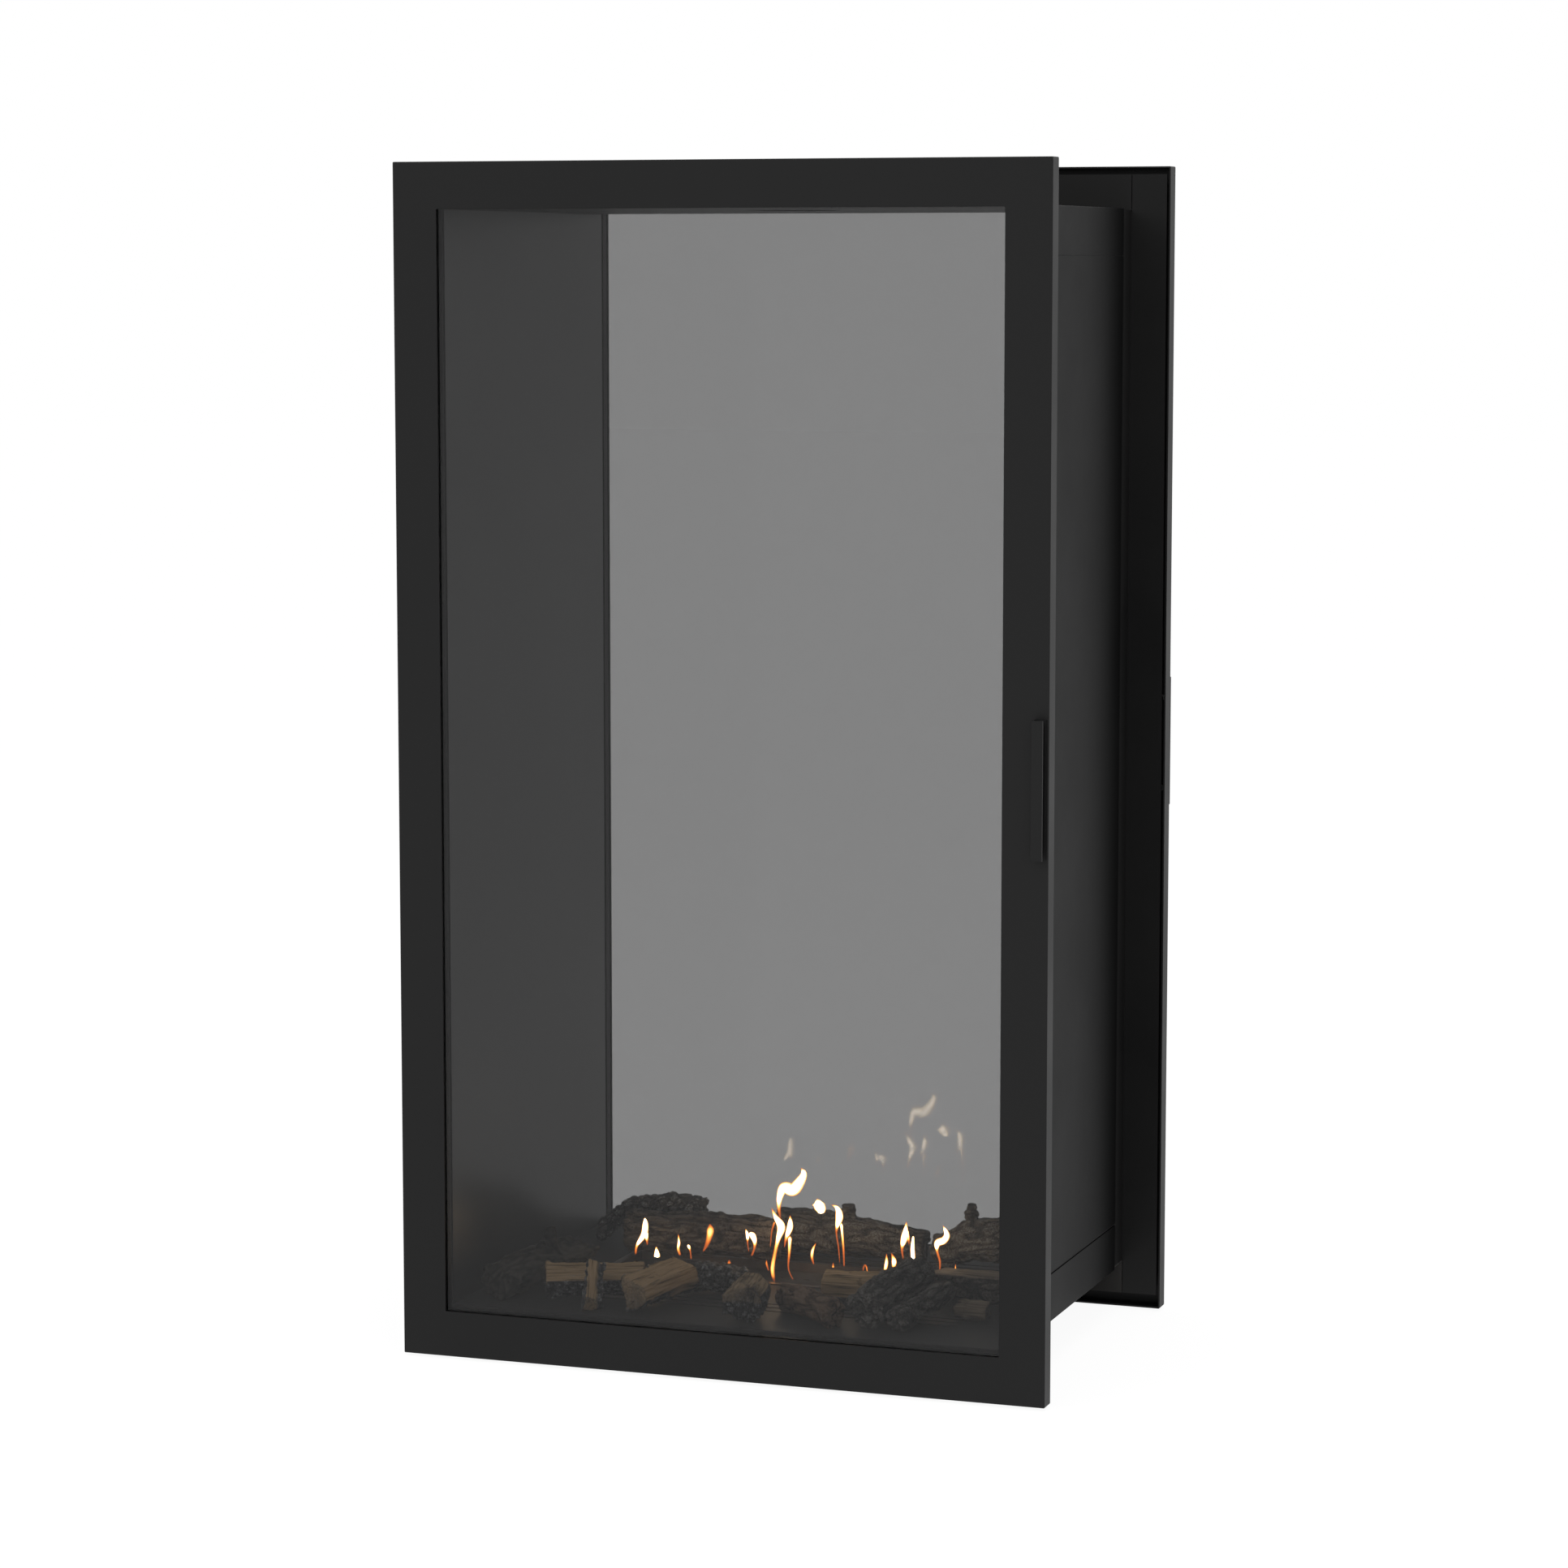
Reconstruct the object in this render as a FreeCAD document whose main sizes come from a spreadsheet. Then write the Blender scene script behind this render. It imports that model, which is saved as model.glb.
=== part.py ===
import FreeCAD, Part
import math
import os
import re
import Sketcher

# Double-sided fireplace: a see-through steel firebox with a glazed door on each side,
# a gas burner under its floor and a set of ceramic logs.
# Millimetres, +Z up, the front faces -Y, origin under the middle of the base box.

doc = FreeCAD.newDocument("DoubleSidedFireplace")

SIZES = {
    # overall
    "frame_height": 1500,
    "frame_width": 846,
    "overall_depth": 575,
    "door_floor_gap": 4,
    # door tray
    "face_width": 58,
    "face_thickness": 2.5,
    "tray_depth": 25,
    "return_thickness": 2,
    "edge_radius": 1.5,
    # glazing
    "glass_thickness": 4,
    "glass_overlap": 14,
    "glass_corner": 3,
    "gasket_thickness": 1.5,
    "gasket_setback": 1,
    "retainer_width": 26,
    "retainer_gap": 3,
    "seal_width": 9,
    "seal_clearance": 0.3,
    "stud_radius": 2,
    "stud_clearance": 0.25,
    "stud_edge": 6,
    "stud_tail": 3,
    "nut_radius": 4,
    "nut_height": 3.2,
    # handle
    "handle_height": 168,
    "handle_width": 14.5,
    "handle_depth": 16,
    "handle_thickness": 2.5,
    "handle_bend": 1.5,
    "handle_edge": 3.5,
    "handle_raise": 3,
    "screw_pitch": 120,
    "screw_radius": 2,
    "screw_clearance": 0.25,
    "screw_head_radius": 3.8,
    "screw_head_height": 2.4,
    # hinges
    "hinge_inset": 5,
    "hinge_back": 4.5,
    "hinge_spread": 550,
    "barrel_radius": 4,
    "pin_radius": 2,
    "pin_play": 0.05,
    "pin_head_radius": 3.5,
    "pin_head_height": 2,
    "knuckle_height": 30,
    "knuckle_play": 0.3,
    "knuckle_relief": 1,
    "moving_leaf": 1.6,
    "fixed_leaf": 2,
    "fixed_leaf_reach": 30,
    # magnetic catches
    "magnet_width": 14,
    "magnet_height": 40,
    "magnet_edge": 9,
    "magnet_gap": 0.3,
    "magnet_spread": 300,
    # firebox sheet metal
    "sheet_thickness": 2,
    "bend_radius": 1,
    "floor_raise": 4,
    "flange_gap_side": 3,
    "flange_gap_top": 8,
    "flange_gap_bottom": 16,
    "panel_thickness": 4,
    "panel_clearance": 0.5,
    "neck_length": 44,
    "band_height": 60,
    "groove_gap": 3,
    "seam_gap": 1,
    # air slots in the floor
    "slot_length": 540,
    "slot_width": 5,
    "slot_pitch": 18,
    "slot_centre": 148,
    # base box
    "base_width": 560,
    "base_setback": 18.5,
    "base_lip": 10,
    "base_hole_radius": 5.5,
    "base_hole_inset": 40,
    "vent_width": 160,
    "vent_height": 24,
    "vent_sill": 20,
    # burner
    "burner_length": 500,
    "burner_width": 120,
    "burner_offset": 40,
    "burner_drop": 30,
    "burner_rim": 8,
    "burner_sheet": 1.5,
    "burner_play": 1,
    "port_drop": 10,
    "port_length": 8,
    "port_width": 2,
    "port_pitch": 16,
    "port_row": 30,
    # gas train
    "mixer_radius": 11,
    "mixer_wall": 1.2,
    "mixer_length": 180,
    "mixer_lift": 4,
    "riser_offset": 20,
    "riser_radius": 8,
    "riser_rise": 3,
    "riser_play": 0.25,
    "collar_radius": 12,
    "collar_height": 2,
    "injector_radius": 6,
    "injector_length": 24,
    "injector_overlap": 8,
    "injector_bore": 1,
    "inlet_bore": 9.3,
    "inlet_thread": 15,
    "inlet_socket_radius": 13,
    "inlet_socket": 16,
    "inlet_flange_radius": 15,
    "inlet_flange": 4,
    "inlet_shank": 10,
    "inlet_play": 0.25,
    "pipe_radius": 6,
    "pipe_bore": 4,
    # pilot group
    "pilot_x": -125,
    "pilot_setback": 14,
    "bracket_length": 32,
    "bracket_foot": 14,
    "bracket_height": 30,
    "bracket_sheet": 1.5,
    "pilot_radius": 5,
    "pilot_height": 24,
    "pilot_tail": 18,
    "pilot_play": 0.3,
    "probe_pitch": 10,
    "electrode_radius": 2.8,
    "electrode_height": 20,
    "electrode_wire": 0.8,
    "electrode_tip": 9,
    "couple_radius": 2.2,
    "couple_height": 27,
    # flue
    "flue_radius": 75,
    "spigot_wall": 1.5,
    "spigot_height": 44,
    "spigot_flange": 15,
    "flue_throat": 60,
    "restrictor_hole": 45,
    "restrictor_play": 0.5,
    # log bed
    "log_margin_side": 20,
    "log_margin_front": 12,
}

sheet = doc.addObject("Spreadsheet::Sheet", "Sizes")
for row, (word, value) in enumerate(SIZES.items(), start=1):
    sheet.set("A%d" % row, word)
    sheet.set("B%d" % row, str(value))
    sheet.setAlias("B%d" % row, word)
doc.recompute()


def bound(formula):
    """Sheet expression for a formula written in the names of the sizes."""
    return re.sub(r"[a-z_]+", lambda word: "Sizes." + word.group(0), formula)


def number(formula):
    """Value of such a formula as the sheet stands."""
    return float(sheet.evalExpression(bound(formula)))


# Planes that several pieces share

HALF_WIDTH = "(frame_width / 2)"
OPEN_X = "(frame_width / 2 - face_width)"
FRAME_LOW = "(door_floor_gap)"
FRAME_TOP = "(door_floor_gap + frame_height)"
OPEN_LOW = "(door_floor_gap + face_width)"
OPEN_TOP = "(door_floor_gap + frame_height - face_width)"
MIDDLE = "(door_floor_gap + frame_height / 2)"
FACE = "(-overall_depth / 2)"
FACE_BACK = f"({FACE} + face_thickness)"
BACK = f"({FACE} + tray_depth)"
FLANGE = f"({BACK} - sheet_thickness)"
GLASS_FRONT = f"({FACE_BACK} + gasket_thickness)"
GLASS_BACK = f"({GLASS_FRONT} + glass_thickness)"
RETAINER_BACK = f"({GLASS_BACK} + sheet_thickness)"
WEB_IN = f"({OPEN_X} + panel_thickness)"
WEB_OUT = f"({WEB_IN} + sheet_thickness)"
COVER = f"({WEB_OUT} + sheet_thickness)"
NECK = f"({BACK} + neck_length)"
FLOOR = f"({OPEN_LOW} + floor_raise)"
SHELL_LOW = f"({FLOOR} - 2 * sheet_thickness)"
SHELL_TOP = f"({OPEN_TOP} + 2 * sheet_thickness)"
BASE_X = "(base_width / 2)"
BASE_Y = f"(-{NECK} - base_setback)"
PLANES = {"XY": ("XY_Plane", 1), "XZ": ("XZ_Plane", -1), "YZ": ("YZ_Plane", 1)}

pieces = {}


# Drawing and modelling helpers

def rectangle(u0, u1, v0, v1):
    return [(u0, v0), (u1, v0), (u1, v1), (u0, v1)]


def centred(half_u, low, high):
    return rectangle(f"-{half_u}", half_u, low, high)


def draw_outline(drawing, corners):
    """Closed outline whose corners are tied to the sheet."""
    points = [FreeCAD.Vector(number(u), number(v), 0) for u, v in corners]
    count = len(points)
    first = drawing.GeometryCount
    drawing.addGeometry([Part.LineSegment(points[i], points[(i + 1) % count]) for i in range(count)], False)
    drawing.addConstraint([
        Sketcher.Constraint("Coincident", first + (i - 1) % count, 2, first + i, 1) for i in range(count)])
    ties = []
    formulas = []
    for i, (u, v) in enumerate(corners):
        ties.append(Sketcher.Constraint("DistanceX", -1, 1, first + i, 1, points[i].x))
        ties.append(Sketcher.Constraint("DistanceY", -1, 1, first + i, 1, points[i].y))
        formulas += [u, v]
    for index, formula in zip(drawing.addConstraint(ties), formulas):
        drawing.setExpression("Constraints[%d]" % index, bound(formula))


def draw_circle(drawing, u, v, radius):
    """Circle whose centre and radius are tied to the sheet."""
    centre = FreeCAD.Vector(number(u), number(v), 0)
    circle = Part.Circle(centre, FreeCAD.Vector(0, 0, 1), number(radius))
    index = drawing.addGeometry(circle, False)
    ties = (
        (Sketcher.Constraint("DistanceX", -1, 1, index, 3, centre.x), u),
        (Sketcher.Constraint("DistanceY", -1, 1, index, 3, centre.y), v),
        (Sketcher.Constraint("Radius", index, number(radius)), radius),
    )
    for tie, formula in ties:
        place = drawing.addConstraint(tie)
        drawing.setExpression("Constraints[%d]" % place, bound(formula))


def draw(body, plane, level, loops):
    """Sketch on an origin plane of the body, moved to a level along that plane's axis."""
    role, sense = PLANES[plane]
    drawing = body.newObject("Sketcher::SketchObject", "Sketch")
    origin = next(item for item in body.Origin.OriginFeatures if item.Role == role)
    drawing.AttachmentSupport = [(origin, "")]
    drawing.MapMode = "FlatFace"
    drawing.setExpression("AttachmentOffset.Base.z", bound(f"{sense} * ({level})"))
    for loop in loops:
        if isinstance(loop, list):
            draw_outline(drawing, loop)
        else:
            draw_circle(drawing, *loop)
    return drawing


def extrude(body, plane, low, high, *loops):
    """Pad from one level to a higher one."""
    pad = body.newObject("PartDesign::Pad", "Pad")
    pad.Profile = draw(body, plane, low, loops)
    pad.setExpression("Length", bound(f"({high}) - ({low})"))
    pad.Reversed = plane == "XZ"
    return body


def carve(body, plane, low, high, *loops):
    """Pocket from one level to a higher one."""
    pocket = body.newObject("PartDesign::Pocket", "Pocket")
    pocket.Profile = draw(body, plane, low, loops)
    pocket.setExpression("Length", bound(f"({high}) - ({low})"))
    pocket.Reversed = plane != "XZ"
    return body


def round_edges(body, radius, wanted):
    """Fillet on the edges whose two ends satisfy wanted."""
    doc.recompute()
    base = body.Tip
    names = []
    for i, edge in enumerate(base.Shape.Edges, start=1):
        ends = [vertex.Point for vertex in edge.Vertexes]
        if len(ends) == 2 and wanted(*ends):
            names.append("Edge%d" % i)
    fillet = body.newObject("PartDesign::Fillet", "Fillet")
    fillet.Base = (base, names)
    fillet.setExpression("Radius", bound(radius))
    return body


def repeat_along_x(body, count, length):
    """Repeat the last feature of the body in a row along X."""
    doc.recompute()
    last = body.Tip
    row = body.newObject("PartDesign::LinearPattern", "Row")
    row.Originals = [last]
    axis = next(item for item in body.Origin.OriginFeatures if item.Role == "X_Axis")
    row.Direction = (axis, [""])
    row.Occurrences = count
    row.setExpression("Length", bound(length))
    body.Tip = row
    return body


def new_body(label):
    body = doc.addObject("PartDesign::Body", label)
    body.Label = label
    pieces[label] = body
    return body


def near(value, formula):
    return abs(value - number(formula)) < 0.01


def block(label, x0, x1, y0, y1, z0, z1):
    box = doc.addObject("Part::Box", label)
    box.Label = label
    spans = zip(("Length", "Width", "Height"), "xyz", (x0, y0, z0), (x1, y1, z1))
    for size, axis, low, high in spans:
        box.setExpression(size, bound(f"({high}) - ({low})"))
        box.setExpression("Placement.Base." + axis, bound(low))
    return box


def rod(label, axis, across, low, high, radius):
    """Round bar along X or Z; across holds its two other coordinates."""
    bar = doc.addObject("Part::Cylinder", label)
    bar.Label = label
    bar.setExpression("Radius", bound(radius))
    bar.setExpression("Height", bound(f"({high}) - ({low})"))
    if axis == "X":
        turn = FreeCAD.Rotation(FreeCAD.Vector(0, 1, 0), 90)
        base = (low, *across)
    else:
        turn = FreeCAD.Rotation()
        base = (*across, low)
    bar.Placement = FreeCAD.Placement(FreeCAD.Vector(), turn)
    for name, formula in zip("xyz", base):
        bar.setExpression("Placement.Base." + name, bound(formula))
    return bar


def fuse(label, parts):
    whole = doc.addObject("Part::MultiFuse", label)
    whole.Label = label
    whole.Shapes = parts
    whole.Refine = True
    return whole


def less(label, base, tool):
    rest = doc.addObject("Part::Cut", label)
    rest.Label = label
    rest.Base = base
    rest.Tool = tool
    return rest


def keep(piece):
    pieces[piece.Label] = piece
    return piece


def mirrored(label, source, normal):
    """The other one of a symmetrical pair."""
    copy = doc.addObject("Part::Mirroring", label)
    copy.Label = label
    copy.Source = source
    copy.Normal = normal
    return keep(copy)


def group(label, solids):
    """Identical small pieces kept as one group of separate solids."""
    doc.recompute()
    item = doc.addObject("Part::Feature", label)
    item.Label = label
    item.Shape = Part.makeCompound(solids)
    return keep(item)


def flipped(solids):
    """The same solids on the rear side."""
    origin = FreeCAD.Vector()
    return [solid.mirror(origin, FreeCAD.Vector(0, 1, 0)) for solid in solids]


ACROSS_X = FreeCAD.Vector(1, 0, 0)
ACROSS_Y = FreeCAD.Vector(0, 1, 0)
UP = FreeCAD.Vector(0, 0, 1)


# Front door: a folded tray with a window

HANDLE_LEFT = f"({HALF_WIDTH} - handle_edge - handle_width)"
HANDLE_RIGHT = f"({HALF_WIDTH} - handle_edge)"
HANDLE_SCREW_X = f"(({HANDLE_LEFT} + handle_thickness + {HANDLE_RIGHT}) / 2)"
HANDLE_MIDDLE = f"({MIDDLE} + handle_raise)"
SCREW_LEVELS = (f"({HANDLE_MIDDLE} - screw_pitch / 2)", f"({HANDLE_MIDDLE} + screw_pitch / 2)")
screw_holes = [(HANDLE_SCREW_X, z, "(screw_radius + screw_clearance)") for z in SCREW_LEVELS]

door = new_body("front_door_frame")
extrude(door, "XZ", FACE, BACK, centred(HALF_WIDTH, FRAME_LOW, FRAME_TOP))
carve(door, "XZ", FACE_BACK, BACK, centred(
    f"({HALF_WIDTH} - return_thickness)",
    f"{FRAME_LOW} + return_thickness",
    f"{FRAME_TOP} - return_thickness"))
carve(door, "XZ", FACE, FACE_BACK, centred(OPEN_X, OPEN_LOW, OPEN_TOP), *screw_holes)


def on_door_rim(start, end):
    """The outer edges of the face and the four corners of the tray."""
    side = near(abs(start.x), HALF_WIDTH) and near(start.x - end.x, "0")
    level = near(start.z - end.z, "0")
    level = level and (near(start.z, FRAME_LOW) or near(start.z, FRAME_TOP))
    on_face = near(start.y, FACE) and near(end.y, FACE)
    return (side and level) or (on_face and (side or level))


round_edges(door, "edge_radius", on_door_rim)


# Glazing of the front door: tape, pane, retaining frame, rope seal and fixings

PANE_X = f"({OPEN_X} + glass_overlap)"
PANE_LOW = f"({OPEN_LOW} - glass_overlap)"
PANE_TOP = f"({OPEN_TOP} + glass_overlap)"

tape = new_body("front_glass_gasket")
extrude(tape, "XZ", FACE_BACK, GLASS_FRONT,
        centred(PANE_X, PANE_LOW, PANE_TOP),
        centred(f"({OPEN_X} + gasket_setback)", f"{OPEN_LOW} - gasket_setback", f"{OPEN_TOP} + gasket_setback"))

pane = new_body("front_door_glass")
extrude(pane, "XZ", GLASS_FRONT, GLASS_BACK, centred(PANE_X, PANE_LOW, PANE_TOP))
round_edges(pane, "glass_corner", lambda a, b: near(a.x - b.x, "0") and near(a.z - b.z, "0"))


def fixing_places():
    """Centres of the studs along the retaining frame, in X and Z."""
    reach_x = number(f"{OPEN_X} + retainer_width - stud_edge")
    low = number(f"{OPEN_LOW} - retainer_width + stud_edge")
    top = number(f"{OPEN_TOP} + retainer_width - stud_edge")
    places = [(x, z) for x in (-0.6 * reach_x, 0.6 * reach_x) for z in (low, top)]
    for share in (0.1, 0.37, 0.63, 0.9):
        places += [(x, low + share * (top - low)) for x in (-reach_x, reach_x)]
    return places


stud_holes = [("%.6f" % x, "%.6f" % z, "(stud_radius + stud_clearance)") for x, z in fixing_places()]
retainer = new_body("front_glass_retainer")
extrude(retainer, "XZ", GLASS_BACK, RETAINER_BACK,
        centred(f"({OPEN_X} + retainer_width)", f"{OPEN_LOW} - retainer_width", f"{OPEN_TOP} + retainer_width"),
        centred(OPEN_X, OPEN_LOW, OPEN_TOP))
extrude(retainer, "XZ", GLASS_BACK, f"{FLANGE} - retainer_gap",
        centred(f"({OPEN_X} + sheet_thickness)", f"{OPEN_LOW} - sheet_thickness", f"{OPEN_TOP} + sheet_thickness"),
        centred(OPEN_X, OPEN_LOW, OPEN_TOP))
carve(retainer, "XZ", GLASS_BACK, RETAINER_BACK, *stud_holes)

seal_in = "sheet_thickness"
seal_out = "(sheet_thickness + seal_width)"
seal = new_body("front_door_seal")
extrude(seal, "XZ", RETAINER_BACK, f"{FLANGE} - seal_clearance",
        centred(f"({OPEN_X} + {seal_out})", f"{OPEN_LOW} - {seal_out}", f"{OPEN_TOP} + {seal_out}"),
        centred(f"({OPEN_X} + {seal_in})", f"{OPEN_LOW} - {seal_in}", f"{OPEN_TOP} + {seal_in}"))


def glass_fixing(x, z):
    """Weld stud on the back of the face with its nut on the retaining frame."""
    nut_y = number(RETAINER_BACK)
    start = FreeCAD.Vector(x, number(FACE_BACK), z)
    length = nut_y + number("nut_height + stud_tail") - start.y
    stud = Part.makeCylinder(number("stud_radius"), length, start, ACROSS_Y)
    turns = [math.radians(60 * i) for i in range(7)]
    rim = number("nut_radius")
    corners = [FreeCAD.Vector(x + rim * math.cos(a), nut_y, z + rim * math.sin(a)) for a in turns]
    nut = Part.Face(Part.makePolygon(corners)).extrude(ACROSS_Y * number("nut_height"))
    return stud.fuse(nut).removeSplitter().Solids[0]


group("front_glass_fixings", [glass_fixing(x, z) for x, z in fixing_places()])


# Handle of the front door: a folded channel open towards the edge, and its screws

handle = new_body("front_door_handle")
front = f"({FACE} - handle_depth)"
extrude(handle, "XY", f"{HANDLE_MIDDLE} - handle_height / 2", f"{HANDLE_MIDDLE} + handle_height / 2", [
    (HANDLE_RIGHT, front),
    (HANDLE_RIGHT, f"{front} + handle_thickness"),
    (f"{HANDLE_LEFT} + handle_thickness", f"{front} + handle_thickness"),
    (f"{HANDLE_LEFT} + handle_thickness", f"{FACE} - handle_thickness"),
    (HANDLE_RIGHT, f"{FACE} - handle_thickness"),
    (HANDLE_RIGHT, FACE),
    (HANDLE_LEFT, FACE),
    (HANDLE_LEFT, front)])
carve(handle, "XZ", f"{FACE} - handle_thickness", FACE, *screw_holes)
round_edges(handle, "handle_bend",
            lambda a, b: near(a.x, HANDLE_LEFT) and near(b.x, HANDLE_LEFT) and near(a.y - b.y, "0"))


def handle_screw(level):
    """Pan-head screw from inside the tray into the foot of the handle."""
    seat = FreeCAD.Vector(number(HANDLE_SCREW_X), number(FACE_BACK), number(level))
    shank = number("face_thickness + handle_thickness")
    head = Part.makeCylinder(number("screw_head_radius"), number("screw_head_height"), seat, ACROSS_Y)
    return head.fuse(Part.makeCylinder(number("screw_radius"), shank, seat, -ACROSS_Y)).removeSplitter().Solids[0]


group("front_handle_screws", [handle_screw(level) for level in SCREW_LEVELS])


# Hinges: three per door on the -X side, the barrel behind the flange

HINGE_X = f"(hinge_inset - {HALF_WIDTH})"
HINGE_Y = f"({BACK} + hinge_back)"
HINGE_LEVELS = [f"({MIDDLE} {shift})" for shift in ("- hinge_spread", "+ 0", "+ hinge_spread")]


def knuckle(bottom, height):
    """Piece of hinge barrel with its bore."""
    foot = FreeCAD.Vector(number(HINGE_X), number(HINGE_Y), bottom)
    barrel = Part.makeCylinder(number("barrel_radius"), height, foot, UP)
    return barrel.cut(Part.makeCylinder(number("pin_radius + pin_play"), height, foot, UP))


def corner_box(x0, x1, y0, y1, z0, z1):
    return Part.makeBox(x1 - x0, y1 - y0, z1 - z0, FreeCAD.Vector(x0, y0, z0))


def bore(level):
    """Room for the pin through a whole hinge."""
    height = 3 * number("knuckle_height")
    foot = FreeCAD.Vector(number(HINGE_X), number(HINGE_Y), number(level) - height / 2)
    return Part.makeCylinder(number("pin_radius + pin_play"), height, foot, UP)


def moving_leaf(level):
    """Middle knuckle and the leaf that lies inside the door's return."""
    height = number("knuckle_height - 2 * knuckle_play")
    bottom = number(level) - height / 2
    inner = number(f"return_thickness - {HALF_WIDTH}")
    leaf = corner_box(inner, inner + number("moving_leaf"), number(FACE_BACK), number(HINGE_Y),
                      bottom, bottom + height)
    return knuckle(bottom, height).fuse(leaf).cut(bore(level)).removeSplitter().Solids[0]


def fixed_leaf(level):
    """Outer knuckles and the leaf on the back of the flange, cleared for the middle knuckle."""
    height = number("knuckle_height")
    bottom = number(level) - 1.5 * height
    x = number(HINGE_X)
    back = number(BACK)
    relief = x + number("barrel_radius + knuckle_relief")
    leaf = corner_box(x, x + number("fixed_leaf_reach"), back, back + number("fixed_leaf"),
                      bottom, bottom + 3 * height)
    leaf = leaf.cut(corner_box(x, relief, back, back + number("fixed_leaf"), bottom + height, bottom + 2 * height))
    leaf = leaf.fuse([knuckle(bottom, height), knuckle(bottom + 2 * height, height)])
    return leaf.cut(bore(level)).removeSplitter().Solids[0]


def hinge_pin(level):
    """Pin through the three knuckles, its head on the upper one."""
    height = 3 * number("knuckle_height")
    foot = FreeCAD.Vector(number(HINGE_X), number(HINGE_Y), number(level) - height / 2)
    pin = Part.makeCylinder(number("pin_radius"), height, foot, UP)
    head = Part.makeCylinder(number("pin_head_radius"), number("pin_head_height"), foot + UP * height, UP)
    return pin.fuse(head).removeSplitter().Solids[0]


group("front_hinge_leaves", [moving_leaf(level) for level in HINGE_LEVELS])
fixed_leaves = [fixed_leaf(level) for level in HINGE_LEVELS]
pins = [hinge_pin(level) for level in HINGE_LEVELS]
group("hinge_leaves_fixed", fixed_leaves + flipped(fixed_leaves))
group("hinge_pins", pins + flipped(pins))


# Magnetic catches on the flange, opposite the hinges

def magnet(level):
    x1 = number(f"{HALF_WIDTH} - return_thickness - magnet_edge")
    x0 = x1 - number("magnet_width")
    half = number("magnet_height / 2")
    return corner_box(x0, x1, number(f"{FACE_BACK} + magnet_gap"), number(FLANGE), level - half, level + half)


MAGNET_LEVELS = [number(f"{MIDDLE} {sign} magnet_spread") for sign in "-+"]
magnets = [magnet(level) for level in MAGNET_LEVELS]
group("catch_magnets", magnets + flipped(magnets))


# Rear door: the front one mirrored

for name in ("door_frame", "glass_gasket", "door_glass", "glass_retainer", "door_seal",
             "glass_fixings", "door_handle", "handle_screws", "hinge_leaves"):
    mirrored("rear_" + name, pieces["front_" + name], ACROSS_Y)


# Firebox liners: four folded sheets whose flanges close the backs of the doors

FLANGE_EDGE = f"({HALF_WIDTH} - return_thickness - flange_gap_side)"
TOP_EDGE = f"({FRAME_TOP} - return_thickness - flange_gap_top)"
BOTTOM_EDGE = f"({FRAME_LOW} + return_thickness + flange_gap_bottom)"
liner = new_body("liner_left")
extrude(liner, "XY", FLOOR, OPEN_TOP, [
    (f"-{WEB_IN}", FLANGE),
    (f"-{WEB_IN}", f"-{FLANGE}"),
    (f"-{FLANGE_EDGE}", f"-{FLANGE}"),
    (f"-{FLANGE_EDGE}", f"-{BACK}"),
    (f"-{WEB_OUT}", f"-{BACK}"),
    (f"-{WEB_OUT}", BACK),
    (f"-{FLANGE_EDGE}", BACK),
    (f"-{FLANGE_EDGE}", FLANGE)])
round_edges(liner, "bend_radius", lambda a, b: near(a.x, f"-{WEB_IN}") and near(a.y - b.y, "0"))
flange_sheet = rectangle(f"-{FLANGE_EDGE}", f"-{WEB_OUT} - seam_gap", BOTTOM_EDGE, TOP_EDGE)
extrude(liner, "XZ", FLANGE, BACK, flange_sheet)
extrude(liner, "XZ", f"-{BACK}", f"-{FLANGE}", flange_sheet)
mirrored("liner_right", liner, ACROSS_X)

WEB_TOP = f"({OPEN_TOP} + sheet_thickness)"
ceiling = new_body("liner_top")
extrude(ceiling, "YZ", f"-{WEB_OUT}", WEB_OUT, [
    (FLANGE, OPEN_TOP),
    (f"-{FLANGE}", OPEN_TOP),
    (f"-{FLANGE}", TOP_EDGE),
    (f"-{BACK}", TOP_EDGE),
    (f"-{BACK}", WEB_TOP),
    (BACK, WEB_TOP),
    (BACK, TOP_EDGE),
    (FLANGE, TOP_EDGE)])
carve(ceiling, "XY", OPEN_TOP, WEB_TOP, ("0", "0", "flue_throat"))
round_edges(ceiling, "bend_radius", lambda a, b: near(a.z, OPEN_TOP) and near(b.z, OPEN_TOP) and near(a.y - b.y, "0"))

WEB_UNDER = f"({FLOOR} - sheet_thickness)"
BURNER_X = "(burner_length / 2)"
BURNER_FRONT = "(burner_offset - burner_width / 2)"
BURNER_BACK = "(burner_offset + burner_width / 2)"
PILOT_Y = f"({BURNER_FRONT} - burner_rim - pilot_setback)"

floor = new_body("hearth_floor")
extrude(floor, "YZ", f"-{WEB_OUT}", WEB_OUT, [
    (FLANGE, FLOOR),
    (f"-{FLANGE}", FLOOR),
    (f"-{FLANGE}", BOTTOM_EDGE),
    (f"-{BACK}", BOTTOM_EDGE),
    (f"-{BACK}", WEB_UNDER),
    (BACK, WEB_UNDER),
    (BACK, BOTTOM_EDGE),
    (FLANGE, BOTTOM_EDGE)])
air_slots = []
for side in "-+":
    for step in (-1, 0, 1):
        middle = f"({side} slot_centre + {step} * slot_pitch)"
        air_slots.append(centred("(slot_length / 2)", f"{middle} - slot_width / 2", f"{middle} + slot_width / 2"))
carve(floor, "XY", WEB_UNDER, FLOOR, *air_slots)
carve(floor, "XY", WEB_UNDER, FLOOR,
      centred(f"({BURNER_X} + burner_play)", f"{BURNER_FRONT} - burner_play", f"{BURNER_BACK} + burner_play"),
      ("pilot_x", PILOT_Y, "(pilot_radius + pilot_play)"))
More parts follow.
